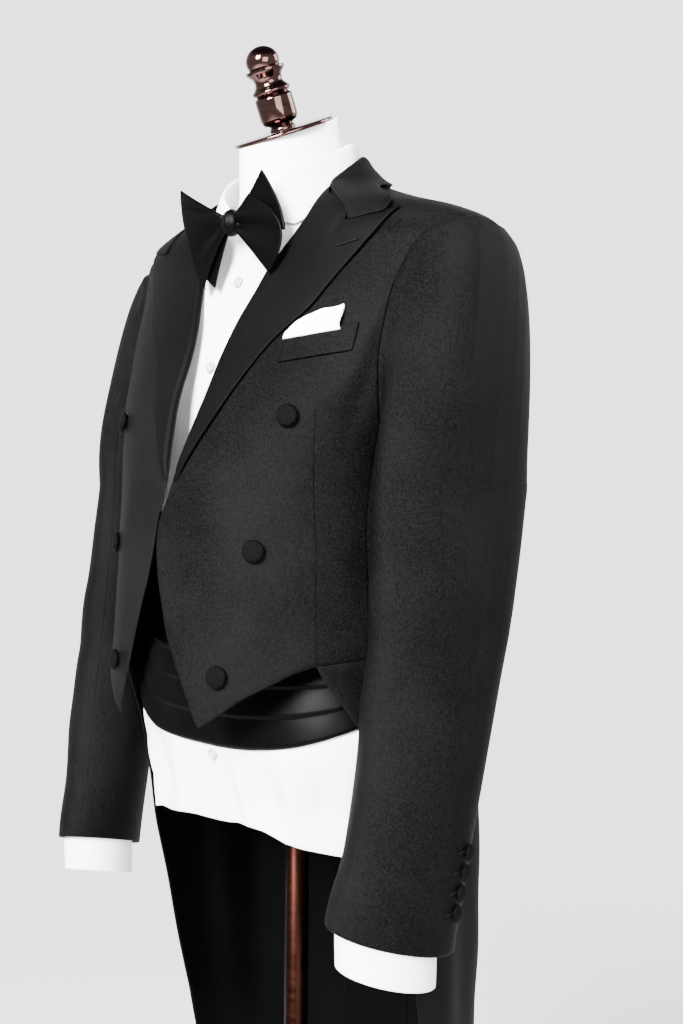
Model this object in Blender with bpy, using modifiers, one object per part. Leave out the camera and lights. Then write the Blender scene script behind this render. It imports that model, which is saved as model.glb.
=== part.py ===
"""Evening tailcoat worn with a dress shirt, bow tie and cummerbund, on a limbless dress form and its stand.

Metres, +Z up. The origin is the middle of the base's underside. The garment faces -Y, and the wearer's left is +X.
Cloth pieces are walls lofted over the body: each lies between two copies of one sheet of points, moved along the
body's normal, so that two pieces that meet at a seam keep parallel edges.
"""

import math

import bmesh
import bpy
import numpy as np
from mathutils import Vector

SEAM = 0.0003  # gap between two pieces at a seam
CLOTH = 0.0020  # coat cloth with its backing
SHIRTING = 0.0012
SATIN = 0.0014
NUDGE = 1e-4  # step for slopes

BASE_RADIUS, BASE_HEIGHT, BASE_EDGE = 0.190, 0.016, 0.004
POLE_RADIUS = 0.012
NECK_TILT = math.radians(24.0)
PLATE_RADIUS, PLATE_HEIGHT = 0.0502, 0.0034
NECK_TOP = (0.0, -0.0225, 1.5360)

SHIRT_OUT = 0.0055  # shirt cloth's outer face off the form
BAND_OUT = 0.0085  # cummerbund's outer face off the form
LAPEL_OUT = 0.0053  # lapel's outer face off the coat
LAPEL_INSET = 0.004  # the lapel starts this far outside the roll line
COLLAR_OUT = 0.0052
BUTTON_LIFT = 0.0003
WAIST_GAP = 0.0018  # the tails' top edge stands this far below the fronts

UNDERARM = 1.245  # level of the bottom of the armhole
SHOULDER_TIP = 1.431  # level of its top
WAIST = 1.045
SIDE_ANGLE = 72.0  # front edge of the side body, in degrees from the centre front
LAPEL_START = 1.195

# Sections of the dress form. The depths are those at the middle of the front and back; tilt lifts the back.
FORM = """
level half_width front  back  tilt  square
0.900 0.156     -0.104  0.098 0.00  2.6
0.950 0.166     -0.113  0.114 0.00  2.8
1.030 0.156     -0.110  0.102 0.00  2.6
1.100 0.148     -0.109  0.096 0.00  2.3
1.200 0.154     -0.110  0.108 0.00  2.3
1.300 0.170     -0.103  0.128 0.00  2.4
1.360 0.178     -0.084  0.130 0.00  2.3
1.400 0.176     -0.0725 0.122 0.00  2.2
1.425 0.150     -0.0675 0.108 0.03  2.1
1.445 0.105     -0.068  0.088 0.08  2.0
1.460 0.073     -0.066  0.067 0.16  2.0
1.480 0.057     -0.065  0.046 0.28  2.0
1.510 0.051     -0.067  0.034 0.38  2.0
1.546 0.049     -0.069  0.024 0.445 2.0
"""

# Sections of the coat, from the hem of the tails to the fold of the collar.
COAT = """
level half_width front  back  tilt square
0.440 0.170     -0.180  0.172 0.00 2.2
0.650 0.180     -0.180  0.163 0.00 2.2
0.830 0.186     -0.180  0.152 0.00 2.3
0.975 0.186     -0.180  0.134 0.00 2.3
1.030 0.178     -0.175  0.122 0.00 2.3
1.100 0.169     -0.170  0.116 0.00 2.4
1.180 0.168     -0.162  0.121 0.00 2.5
1.250 0.181     -0.143  0.138 0.00 2.8
1.330 0.198     -0.110  0.150 0.00 2.9
1.380 0.212     -0.089  0.150 0.00 2.6
1.410 0.224     -0.078  0.142 0.00 2.3
1.430 0.222     -0.073  0.132 0.03 2.2
1.447 0.185     -0.070  0.118 0.05 2.2
1.462 0.134     -0.068  0.096 0.08 2.2
1.475 0.100     -0.067  0.075 0.10 2.1
1.490 0.081     -0.066  0.064 0.10 2.0
1.512 0.067     -0.066  0.049 0.02 2.0
"""

# Sections that the shirt's collar follows.
NECKBAND = """
level half_width front  back  tilt square
1.430 0.104     -0.095  0.084 0.16 2.0
1.465 0.080     -0.086  0.066 0.20 2.0
1.500 0.0655    -0.0805 0.0485 0.20 2.0
1.520 0.0625    -0.079  0.0435 0.20 2.0
"""

# Where the two front edges run, as distances from the middle: cut-away edge, closing and roll line of the lapel.
EDGE = """
level left   right
0.979 0.060  0.058
1.018 0.036  0.050
1.055 0.014  0.040
1.082 0.004  0.031
1.113 -0.006 0.021
1.145 -0.010 0.0145
1.161 -0.008 0.0125
1.176 -0.002 0.0085
1.203 0.005  0.008
1.233 0.013  0.013
1.273 0.021  0.021
1.314 0.025  0.025
1.341 0.031  0.031
1.368 0.041  0.041
1.389 0.049  0.049
1.428 0.0725 0.0725
1.447 0.0765 0.0765
1.462 0.0785 0.0785
1.490 0.0795 0.0795
"""

# Outer edge of the lapel, as a distance from the middle.
LAPEL = """
level across
1.195 0.009
1.227 0.028
1.257 0.046
1.289 0.064
1.321 0.086
1.350 0.117
1.370 0.130
1.407 0.156
1.439 0.175
"""

# Top edge of the lapel from its roll line to its peak: the gorge seam, the notch and the peak.
GORGE = """
along level
0.00  1.468
0.31  1.4335
0.73  1.440
1.00  1.4415
"""

# Front half of the armhole and the side-back seam, as angles from the centre front.
ARMHOLE = """
level angle
1.245 72.0
1.275 68.0
1.305 63.5
1.335 60.5
1.360 58.5
1.385 58.5
1.405 60.0
1.418 66.0
1.431 90.0
"""
BACK_SEAM = """
level angle
1.045 165.5
1.080 164.0
1.130 155.0
1.180 138.0
1.215 122.0
1.245 108.0
"""

# Front edge of the tails, and half the width of the back pieces below the waist.
TAIL = """
level edge_angle back_half
0.470 100.0      0.092
0.600 92.5       0.084
0.830 80.0       0.066
0.981 68.0       0.050
1.013 61.0       0.047
1.036 55.5       0.045
1.045 54.0       0.044
"""

# Horizontal sections of the left sleeve. Turn is the long axis's heading from +X, in degrees.
SLEEVE = """
level across  forward depth  width  turn
0.809 0.2200 -0.0860 0.0575 0.0370 64.0
0.880 0.2230 -0.0770 0.0565 0.0380 67.0
0.940 0.2250 -0.0650 0.0580 0.0410 70.0
1.020 0.2250 -0.0490 0.0625 0.0440 73.0
1.100 0.2220 -0.0320 0.0700 0.0440 76.0
1.190 0.2180 -0.0170 0.0787 0.0415 78.0
"""

# Cut-away hem of the fronts, from the point to the side.
HEM = """
across level
0.059  0.979
0.073  0.988
0.100  1.008
0.120  1.020
0.135  1.030
0.147  1.036
0.190  1.045
"""

FRONT_BUTTONS = """
angle level
34.8  1.253
33.4  1.135
22.3  1.024
"""

FORM_LEVELS = (0.900, 0.925, 0.950, 0.990, 1.030, 1.080, 1.140, 1.200, 1.260, 1.310,
               1.360, 1.400, 1.425, 1.445, 1.460, 1.480, 1.510, 1.546)
BODY_LEVELS = (1.080, 1.130, 1.180, 1.215, 1.245, 1.275, 1.305, 1.335, 1.360, 1.385,
               1.405, 1.418, 1.431, 1.447, 1.462, 1.476, 1.490)
TAIL_LEVELS = (0.470, 0.560, 0.650, 0.740, 0.830, 0.910, 0.980, 1.045)
SHIRT_LEVELS = (0.872, 0.900, 0.925, 0.950, 0.990, 1.030, 1.080, 1.140, 1.200, 1.260, 1.275, 1.290,
                1.310, 1.360, 1.400)

FORM_COLUMNS = 32
FRONT_COLUMNS, SIDE_COLUMNS, BACK_COLUMNS, TAIL_COLUMNS = 9, 7, 5, 11
UNDER_COLUMNS = 7  # columns of the armhole under the arm
UNDER_DIP = 0.006  # the armhole's lowest point is this far below UNDERARM
FIRST_ROWS = (0.0, 0.3, 0.65)  # rows of a front between its hem and the first level above the waist
HEM_READ = 1.02  # level at which the hem's distances are read
FINIAL_SHARE = 0.94
BASE_STEPS, POLE_STEPS, PLATE_STEPS = 48, 24, 40
PLACKET_HALF = 0.017
SHIRT_BUTTONS = (0.930, 1.305, 1.385)
SHIRT_ARMHOLE = 26.0  # how far the shirt's armhole opens each way, in degrees
SHOULDER_SEAM = SIDE_SEAM = 90.0
SHIRT_ARM_LOW, SHIRT_ARM_RUN = 1.26, 0.18  # the shirt's armhole: its lowest level and height
PLACKET_STEP = 0.0006
SHIRT_BUTTON_LIFT = 0.0009
BAND_LOW, BAND_RISE, BAND_WIDTH, BAND_WIDEN = 1.445, 0.029, 0.024, 0.55
BAND_INSET = 0.0024
FORM_NECK_LOW, FORM_NECK_RISE = 1.425, 0.045  # the shirt's neckline, on the form's sections
LEAF_OUT, LEAF_FLARE = 0.0008, 0.0030
LEAF_DOWN = (0.0, 0.35, 0.7, 1.0)
LEAF_FOLD, LEAF_FOLD_RISE, LEAF_EDGE, LEAF_EDGE_RISE, LEAF_RUN = 1.472, 0.048, 1.443, 0.025, 0.3
LEAF_FRONT, LEAF_SPREAD = 7.0, 37.0  # angle of the leaf's front at the fold, and how far its points spread
COLLAR_DOWN = (0.0, 0.3, 0.6, 1.0)
COLLAR_END_ANGLE, COLLAR_END_LEVEL = (50.0, 43.0, 36.5, 53.0), (1.4830, 1.4610, 1.4378, 1.4435)
COLLAR_FOLD, COLLAR_EDGE, COLLAR_EDGE_RISE, COLLAR_RUN = 1.508, 1.4630, 0.0090, 0.3
PLEATS = 5
PLEATED_LOW, PLEATED_DROP = 1.020, 0.070  # cummerbund's lower edge at the back, and how far it drops in front
PLEATED_HIGH, PLEATED_RISE = 1.056, 0.030
PLEAT_STEP = 0.0020
BOW_LEVEL, BOW_THICK = 1.438, 0.0016
KNOT_Y, KNOT_GAP = -0.0960, 0.0004
KNOT_HALVES = (0.0115, 0.0100, 0.0135)
BOW_ROOT_HALF = 0.0090
BOW_CURVE, BOW_REACH, BOW_RIPPLE = 0.006, 0.080, 0.002

# Layers of the bow: name, side, depth, then the top, middle and bottom of the outer edge as (across, level).
BOW_WINGS = (
    ("back_left", 1, -0.0955, 0.048, 1.482, 0.068, 1.452, 0.077, 1.425),
    ("front_left", 1, -0.1000, 0.036, 1.461, 0.076, 1.428, 0.062, 1.387),
    ("back_right", -1, -0.0955, 0.078, 1.481, 0.055, 1.436, 0.020, 1.387),
    ("front_right", -1, -0.1000, 0.069, 1.464, 0.053, 1.420, 0.031, 1.380),
)
CAP_STEPS = (0.0, 0.08, 0.18, 0.30, 0.44, 0.60, 0.80)
CAP_SWELL, CAP_RISE = 0.19, 0.38
SLEEVE_LEVELS = (1.190, 1.140, 1.080, 1.010, 0.940, 0.875, 0.809)
UNDER_SPREAD = 2  # columns of the under sleeve beyond the side body's, each way
CUFF_CLEAR = 0.0006
BACK_BUTTON_ACROSS = 0.044
SLEEVE_BUTTONS, SLEEVE_BUTTON_LOW, SLEEVE_BUTTON_STEP = 4, 0.830, 0.0163
SLEEVE_BUTTON_TURN, SLEEVE_BUTTON_LIFT = -1.22, 0.0012

COLOURS = {
    "wool": ((0.012, 0.012, 0.014), 0.75, 0.0),
    "faille": ((0.010, 0.010, 0.012), 0.55, 0.0),
    "satin": ((0.006, 0.006, 0.007), 0.35, 0.0),
    "poplin": ((0.86, 0.87, 0.88), 0.80, 0.0),
    "linen": ((0.85, 0.86, 0.86), 0.85, 0.0),
    "form_cover": ((0.84, 0.84, 0.83), 0.70, 0.0),
    "rose_metal": ((0.36, 0.20, 0.17), 0.20, 1.0),
    "pearl": ((0.80, 0.80, 0.78), 0.25, 0.0),
}


def table(text):
    """Named columns of a short table, each as an array."""
    names, *rows = (line.split() for line in text.strip().splitlines())
    return {name: np.array([float(row[i]) for row in rows]) for i, name in enumerate(names)}


FORM, COAT, NECKBAND, EDGE, LAPEL, GORGE = map(table, (FORM, COAT, NECKBAND, EDGE, LAPEL, GORGE))
ARMHOLE, BACK_SEAM, TAIL, SLEEVE = map(table, (ARMHOLE, BACK_SEAM, TAIL, SLEEVE))
FRONT_BUTTONS, HEM = table(FRONT_BUTTONS), table(HEM)


def curve(rows, column, at, key="level"):
    """Smooth curve through one column of a table, read at the given places."""
    xs, ys = rows[key], rows[column]
    slopes = np.gradient(ys, xs)
    i = np.clip(np.searchsorted(xs, at) - 1, 0, len(xs) - 2)
    step = xs[i + 1] - xs[i]
    t = np.clip((at - xs[i]) / step, 0.0, 1.0)
    rise = (1 + 2 * t) * (1 - t) ** 2 * ys[i] + t * t * (3 - 2 * t) * ys[i + 1]
    return rise + step * (t * (1 - t) ** 2 * slopes[i] - t * t * (1 - t) * slopes[i + 1])


def on_section(rows, angle, level):
    """Point of a body's surface at an angle from the centre front, in degrees, and a level."""
    turn, half = np.radians(angle), curve(rows, "half_width", level)
    power = 2.0 / curve(rows, "square", level)
    s, c = np.sin(turn), np.cos(turn)
    depth = np.where(c > 0, -curve(rows, "front", level), curve(rows, "back", level))
    x = half * np.sign(s) * np.abs(s) ** power
    y = -depth * np.sign(c) * np.abs(c) ** power
    return np.stack([x, y, level + curve(rows, "tilt", level) * y], axis=-1)


def unit(v):
    """Vectors at length one."""
    return v / np.linalg.norm(v, axis=-1, keepdims=True)


def normals(rows, angle, level):
    """Outward normals of a body's surface."""
    turn = np.degrees(NUDGE) * 20
    round_way = on_section(rows, angle + turn, level) - on_section(rows, angle - turn, level)
    up_way = on_section(rows, angle, level + NUDGE) - on_section(rows, angle, level - NUDGE)
    return unit(np.cross(round_way, up_way))


def skin(rows, angle, level, out=0.0):
    """Surface points moved out along the normal."""
    return on_section(rows, angle, level) + normals(rows, angle, level) * np.asarray(out)[..., None]


def angle_at(rows, across, level):
    """Angle at which the front of a section reaches a distance from the middle."""
    share = np.clip(np.asarray(across) / curve(rows, "half_width", level), -1.0, 1.0)
    power = curve(rows, "square", level) / 2.0
    return np.degrees(np.arcsin(np.sign(share) * np.abs(share) ** power))


def material(name):
    """Plain material of one finish."""
    if name in bpy.data.materials:
        return bpy.data.materials[name]
    made = bpy.data.materials.new(name)
    made.use_nodes = True
    shader = made.node_tree.nodes["Principled BSDF"]
    colour, roughness, metallic = COLOURS[name]
    shader.inputs["Base Color"].default_value = (*colour, 1.0)
    shader.inputs["Roughness"].default_value = roughness
    shader.inputs["Metallic"].default_value = metallic
    return made


def add_object(name, mesh, finish):
    """One named piece in the object's collection."""
    piece = bpy.data.objects.new(name, mesh)
    COLLECTION.objects.link(piece)
    mesh.materials.clear()
    mesh.materials.append(material(finish))
    mesh.shade_smooth()
    mesh.set_sharp_from_angle(angle=math.radians(40))
    return piece


def draw_in(sheet, sides):
    """Moves the named edges of a grid of points inwards by half a seam."""
    sheet = sheet.copy()
    views = {"first_column": sheet.swapaxes(0, 1), "last_column": sheet.swapaxes(0, 1)[::-1],
             "first_row": sheet, "last_row": sheet[::-1]}
    for side in sides:
        grid = views[side]
        grid[0] += unit(grid[1] - grid[0]) * SEAM / 2
    return sheet


def wall(name, outer, inner, finish, closed=False):
    """Loft of a cloth wall between an outer and an inner grid of points.

    Rows run upwards, columns run round the body. A closed wall's last column joins its first.
    """
    rows, columns = outer.shape[:2]
    points = np.concatenate([outer.reshape(-1, 3), inner.reshape(-1, 3)])
    number = np.arange(rows * columns).reshape(rows, columns)
    if closed:
        number = np.concatenate([number, number[:, :1]], axis=1)
    a, b = number[:-1, :-1].ravel(), number[:-1, 1:].ravel()
    c, d = number[1:, 1:].ravel(), number[1:, :-1].ravel()
    back = rows * columns
    faces = [np.stack([a, b, c, d], 1), np.stack([d, c, b, a], 1) + back]
    borders = [number[0], number[-1][::-1]]
    if not closed:
        borders += [number[:, -1], number[::-1, 0]]
    for border in borders:
        near, far = border[:-1], border[1:]
        faces.append(np.stack([far, near, near + back, far + back], 1))
    mesh = bpy.data.meshes.new(name)
    mesh.from_pydata(points.tolist(), [], np.concatenate(faces).tolist())
    facing_out = bmesh.new()
    facing_out.from_mesh(mesh)
    bmesh.ops.recalc_face_normals(facing_out, faces=facing_out.faces)
    facing_out.to_mesh(mesh)
    facing_out.free()
    return add_object(name, mesh, finish)


def mirrored(sheet, side):
    """The sheet itself on the left, its mirror image on the right."""
    return sheet * np.array([side, 1.0, 1.0])


def panel(name, rows, angle, level, finish, out=0.0, thick=CLOTH, sides=(), side=1):
    """A piece of cloth that follows a body's surface, its outer face OUT from it."""
    outer, inner = (skin(rows, angle, level, out - deep) for deep in (0.0, thick))
    return wall(name, mirrored(draw_in(outer, sides), side), mirrored(draw_in(inner, sides), side), finish)


def turned(name, profile, finish, steps=32, place=(0, 0, 0), axis=(0, 0, 1)):
    """A turned piece: a profile of (radius, height) from top to bottom, carried round its axis."""
    mesh = bpy.data.meshes.new(name)
    mesh.from_pydata([(r, 0.0, z) for r, z in profile], [(i, i + 1) for i in range(len(profile) - 1)], [])
    piece = add_object(name, mesh, finish)
    screw = piece.modifiers.new("turn", "SCREW")
    screw.steps = screw.render_steps = steps
    screw.use_merge_vertices = True
    screw.merge_threshold = 1e-5
    screw.use_smooth_shade = True
    piece.location = place
    piece.rotation_euler = Vector(axis).to_track_quat("Z", "Y").to_euler()
    return piece


def stand():
    """Weighted round base, pole, neck plate and finial."""
    r, h, e = BASE_RADIUS, BASE_HEIGHT, BASE_EDGE
    turned("stand_base", [(0, h), (r * 0.55, h - 0.001), (r - e, h * 0.6), (r, h * 0.35), (r, e * 0.4),
                          (r - e * 0.4, 0), (0, 0)], "rose_metal", BASE_STEPS)
    bottom, top = BASE_HEIGHT + SEAM, FORM["level"][0] - SEAM
    turned("pole", [(0, top), (POLE_RADIUS, top), (POLE_RADIUS, bottom), (0, bottom)], "rose_metal",
           POLE_STEPS)
    lean = Vector((0.0, -math.sin(NECK_TILT), math.cos(NECK_TILT)))
    plate = Vector(NECK_TOP) + lean * SEAM
    r, h = PLATE_RADIUS, PLATE_HEIGHT
    turned("neck_plate", [(0, h), (r, h), (r, 0), (0, 0)], "rose_metal", PLATE_STEPS, plate, lean)
    profile = [(0, 0.0870), (0.0090, 0.0845), (0.0155, 0.0780), (0.0170, 0.0710), (0.0160, 0.0665),
               (0.0195, 0.0640), (0.0185, 0.0600), (0.0140, 0.0540), (0.0135, 0.0480), (0.0185, 0.0430),
               (0.0190, 0.0400), (0.0155, 0.0370), (0.0185, 0.0330), (0.0185, 0.0130), (0.0165, 0.0075),
               (0.0110, 0.0055), (0.0125, 0), (0, 0)]
    turned("finial", [(r, z * FINIAL_SHARE) for r, z in profile], "rose_metal", POLE_STEPS,
           plate + lean * (h + SEAM), lean)


def dress_form():
    """Limbless torso with its neck, closed top and bottom."""
    angle = np.linspace(0.0, 360.0, FORM_COLUMNS, endpoint=False)
    rings = [on_section(FORM, angle, np.full_like(angle, level)) for level in FORM_LEVELS]
    mesh = bpy.data.meshes.new("torso_form")
    shape = bmesh.new()
    loops = [[shape.verts.new(p) for p in ring] for ring in rings]
    for low, high in zip(loops, loops[1:]):
        for i, point in enumerate(low):
            j = (i + 1) % len(low)
            shape.faces.new((point, low[j], high[j], high[i]))
    shape.faces.new(loops[0][::-1])
    shape.faces.new(loops[-1])
    shape.to_mesh(mesh)
    shape.free()
    add_object("torso_form", mesh, "form_cover")


def sheet_over(levels, left, right, columns):
    """Angle and level grids whose rows run between a left and a right angle given for each level."""
    share = np.linspace(0.0, 1.0, columns)
    level = np.repeat(np.asarray(levels)[:, None], columns, 1)
    return np.asarray(left)[:, None] * (1 - share) + np.asarray(right)[:, None] * share, level


def nape_share(angle):
    """0 at the throat and 1 at the nape, rising fast at first."""
    return (0.5 - 0.5 * np.cos(np.radians(angle))) ** 0.6


def neck_row(angle):
    """Level of the neckband's lower edge on its own sections, low at the throat and high at the nape."""
    return BAND_LOW + BAND_RISE * nape_share(angle)


def shirt_panel(name, left, right, columns, out, thick, sides=(), side=1):
    """A panel of the shirt: on the form up to the chest, then carried over to the lower edge of the neckband."""
    angle, level = sheet_over(SHIRT_LEVELS, left, right, columns)
    faces = []
    for deep in (out, out - thick):
        rows = list(skin(FORM, angle, level, deep))
        neck = skin(NECKBAND, angle[-1], neck_row(angle[-1]) - SEAM, deep - SHIRT_OUT - BAND_INSET)
        top = FORM_NECK_LOW + FORM_NECK_RISE * nape_share(angle[-1])
        for share in (0.34, 0.67):
            own = skin(FORM, angle[-1], SHIRT_LEVELS[-1] + (top - SHIRT_LEVELS[-1]) * share, deep)
            rows.append(own + (neck - own) * share ** 2)
        faces.append(draw_in(np.array(rows + [neck]), sides))
    return wall(name, mirrored(faces[0], side), mirrored(faces[1], side), "poplin")


def shirt():
    """Front halves, back, button stand, collar, band, cuffs and buttons of the dress shirt."""
    levels = np.array(SHIRT_LEVELS)
    rise = np.clip((levels - SHIRT_ARM_LOW) / SHIRT_ARM_RUN, 0.0, 1.0)
    arm = SHIRT_ARMHOLE * np.sqrt(np.sin(math.pi * rise))
    inner = angle_at(FORM, PLACKET_HALF + SEAM, levels)
    for name, side in (("left", 1), ("right", -1)):
        shirt_panel(f"shirt_front_{name}", inner, SIDE_SEAM - arm, 8, SHIRT_OUT, SHIRTING,
                    ("last_column",), side)
    shirt_panel("shirt_back", SIDE_SEAM + arm, 2 * 180.0 - SIDE_SEAM - arm, 15, SHIRT_OUT, SHIRTING,
                ("first_column", "last_column"))
    half = angle_at(FORM, PLACKET_HALF, levels)
    shirt_panel("shirt_placket", -half, half, 3, SHIRT_OUT + PLACKET_STEP, SHIRTING + PLACKET_STEP)
    for i, level in enumerate(SHIRT_BUTTONS):
        place = skin(FORM, np.array(0.0), np.array(level), SHIRT_OUT + PLACKET_STEP + SHIRT_BUTTON_LIFT)
        button(f"shirt_button_{i + 1}", place, normals(FORM, np.array(0.0), np.array(level)), 0.0056, 0.0022,
               "pearl")
    angle, up = np.meshgrid(np.linspace(3.0, 357.0, 25), np.array([0.0, 0.5, 1.0]))
    low = neck_row(angle)
    panel("shirt_collar_band", NECKBAND, angle, low + (BAND_WIDTH + BAND_WIDEN * (low - BAND_LOW)) * up,
          "poplin",
          -BAND_INSET, SHIRTING)
    # the leaf turns down from the fold, its two points spread at the front
    along, down = np.meshgrid(np.linspace(-1.0, 1.0, 21), np.array(LEAF_DOWN))
    front = LEAF_FRONT + LEAF_SPREAD * down
    angle = 180.0 + along * (180.0 - front)
    near = np.clip((1.0 - np.abs(along)) / LEAF_RUN, 0.0, 1.0)
    fold = LEAF_FOLD + LEAF_FOLD_RISE * np.sin(near * math.pi / 2)
    edge = LEAF_EDGE + LEAF_EDGE_RISE * near
    level = fold + (edge - fold) * down
    panel("shirt_collar_leaf", NECKBAND, angle, level, "poplin", LEAF_OUT + LEAF_FLARE * down ** 2, SHIRTING)


def button(name, place, axis, radius, height, finish, steps=12):
    """Low domed button whose underside stands at a place, facing along an axis."""
    profile = [(0, height), (radius * 0.62, height * 0.9), (radius, height * 0.45), (radius * 0.9, 0), (0, 0)]
    return turned(name, profile, finish, steps, tuple(np.ravel(place)), tuple(np.ravel(axis)))


def cummerbund():
    """Pleated satin band, deep at the front and narrow at the back, each pleat a step that faces up."""
    angle = np.linspace(0.0, 360.0, FORM_COLUMNS + 1)
    front = 0.5 + 0.5 * np.cos(np.radians(angle))
    low = PLEATED_LOW - PLEATED_DROP * front ** 2
    high = PLEATED_HIGH + PLEATED_RISE * front
    rows = []
    for i in range(PLEATS):
        rows += [((i + 0.03) / PLEATS, PLEAT_STEP), ((i + 0.97) / PLEATS, 0.0)]
    share, step = (np.array(c)[:, None] for c in zip(*rows))
    level = low + (high - low) * share
    turn = np.repeat(angle[None], len(rows), 0)
    outer = skin(FORM, turn, level, BAND_OUT + step + 0 * level)[:, :-1]
    inner = skin(FORM, turn, level, BAND_OUT - SATIN + 0 * level)[:, :-1]
    wall("cummerbund", outer, inner, "satin", closed=True)


def bow_tie():
    """Self-tied bow: two layers on each side, a loop and an end, spread from one knot."""
    across, up = np.meshgrid(np.linspace(0.0, 1.0, 6), np.linspace(-1.0, 1.0, 7))
    for name, side, depth, top_x, top_z, mid_x, mid_z, low_x, low_z in BOW_WINGS:
        end_x = mid_x + up * (top_x - low_x) / 2 + up ** 2 * ((top_x + low_x) / 2 - mid_x)
        end_z = mid_z + up * (top_z - low_z) / 2 + up ** 2 * ((top_z + low_z) / 2 - mid_z)
        root = KNOT_HALVES[0] * math.sqrt(1.0 - ((depth - KNOT_Y) / KNOT_HALVES[1]) ** 2) + KNOT_GAP
        x = root * (1 - across) + end_x * across
        z = (BOW_LEVEL + BOW_ROOT_HALF * up) * (1 - across) + end_z * across
        ripple = np.cos(up * 2.0 * math.pi) * (1 - across) * across
        y = depth + BOW_CURVE * (x / BOW_REACH) ** 2 + BOW_RIPPLE * ripple
        points = np.stack([x, y, z], -1)
        behind = points + np.array([0.0, BOW_THICK, 0.0])
        wall(f"bow_{name}", mirrored(points, side), mirrored(behind, side), "satin")
    mesh = bpy.data.meshes.new("bow_knot")
    ball = bmesh.new()
    bmesh.ops.create_uvsphere(ball, u_segments=16, v_segments=10, radius=1.0)
    bmesh.ops.scale(ball, vec=KNOT_HALVES, verts=ball.verts)
    bmesh.ops.translate(ball, vec=(0.0, KNOT_Y, BOW_LEVEL), verts=ball.verts)
    ball.to_mesh(mesh)
    ball.free()
    add_object("bow_knot", mesh, "satin")


def front_rows(side):
    """Angle and level grids of a coat front, from the cut-away hem to the shoulder seam and neckline."""
    column = "left" if side > 0 else "right"
    share = np.linspace(0.0, 1.0, FRONT_COLUMNS)
    point = EDGE["level"][0]
    angles, levels = [], []
    low_left = angle_at(COAT, EDGE[column][0], point)
    hem_angle = low_left + (SIDE_ANGLE - low_left) * share
    hem = np.interp(on_section(COAT, hem_angle, np.full(FRONT_COLUMNS, HEM_READ))[:, 0], HEM["across"],
                    HEM["level"])
    first = BODY_LEVELS[0]
    for lift in FIRST_ROWS:
        left = angle_at(COAT, curve(EDGE, column, point + (first - point) * lift),
                        point + (first - point) * lift)
        angles.append(left + (SIDE_ANGLE - left) * share)
        levels.append(hem + (first - hem) * lift)
    for level in BODY_LEVELS:
        left = angle_at(COAT, curve(EDGE, column, level), level)
        right = SIDE_ANGLE if level < UNDERARM else curve(ARMHOLE, "angle", level)
        right = SHOULDER_SEAM if level >= SHOULDER_TIP else right
        angles.append(left + (right - left) * share)
        levels.append(np.full_like(share, level))
    return np.array(angles), np.array(levels)


def coat_body():
    """Fronts, side bodies, backs that run on into the tails, and the tails' side pieces."""
    arm_levels = np.array([v for v in BODY_LEVELS if v <= UNDERARM])
    side_levels = np.concatenate([[WAIST], arm_levels])
    seam = curve(BACK_SEAM, "angle", side_levels)
    levels = np.array(TAIL_LEVELS + BODY_LEVELS)
    back_edge = []
    for level in levels:
        if level < WAIST:
            back_edge.append(180.0 - angle_at(COAT, curve(TAIL, "back_half", level), level))
        elif level <= UNDERARM:
            back_edge.append(curve(BACK_SEAM, "angle", level))
        elif level < SHOULDER_TIP:
            back_edge.append(180.0 - curve(ARMHOLE, "angle", level))
        else:
            back_edge.append(SHOULDER_SEAM)
    back_edge = np.array(back_edge, float)
    tail_levels = np.array(TAIL_LEVELS)
    for name, side in (("left", 1), ("right", -1)):
        angle, level = front_rows(side)
        hem_angle, hem_level = angle[0], level[0]
        panel(f"coat_front_{name}", COAT, angle, level, "wool", sides=("last_column",), side=side)
        angle, level = sheet_over(side_levels, np.full(len(side_levels), SIDE_ANGLE), seam, SIDE_COLUMNS)
        level[-1] -= UNDER_DIP * np.sin(np.linspace(0.0, math.pi, SIDE_COLUMNS))
        panel(f"coat_side_{name}", COAT, angle, level, "wool", sides=("first_column", "last_column",
                                                                      "first_row"),
              side=side)
        angle, level = sheet_over(levels, back_edge, np.full(len(levels), 180.0), BACK_COLUMNS)
        panel(f"coat_back_{name}", COAT, angle, level, "wool", sides=("first_column", "last_column"),
              side=side)
        edge = curve(TAIL, "edge_angle", tail_levels)
        angle, level = sheet_over(tail_levels, edge, back_edge[:len(tail_levels)], TAIL_COLUMNS)
        level[-1] = np.interp(angle[-1], hem_angle, hem_level, right=WAIST) - WAIST_GAP
        panel(f"coat_tail_{name}", COAT, angle, level, "wool", sides=("last_column", "last_row"), side=side)


def lapels():
    """Peak lapels, laid on the fronts from the roll line to the outer edge."""
    across, up = np.meshgrid(np.array([0.0, 0.155, 0.31, 0.52, 0.73, 1.0]), np.linspace(0.0, 1.0, 13) ** 0.85)
    top = np.interp(across, GORGE["along"], GORGE["level"])
    level = LAPEL_START + (top - LAPEL_START) * up
    outer = angle_at(COAT, curve(LAPEL, "across", np.minimum(level, LAPEL["level"][-1])), level)
    roll = angle_at(COAT, curve(EDGE, "left", level) + LAPEL_INSET, level)
    angle = roll + (outer - roll) * across
    for name, side in (("left", 1), ("right", -1)):
        panel(f"lapel_{name}", COAT, angle, level, "faille", LAPEL_OUT, 0.0018, side=side)


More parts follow.
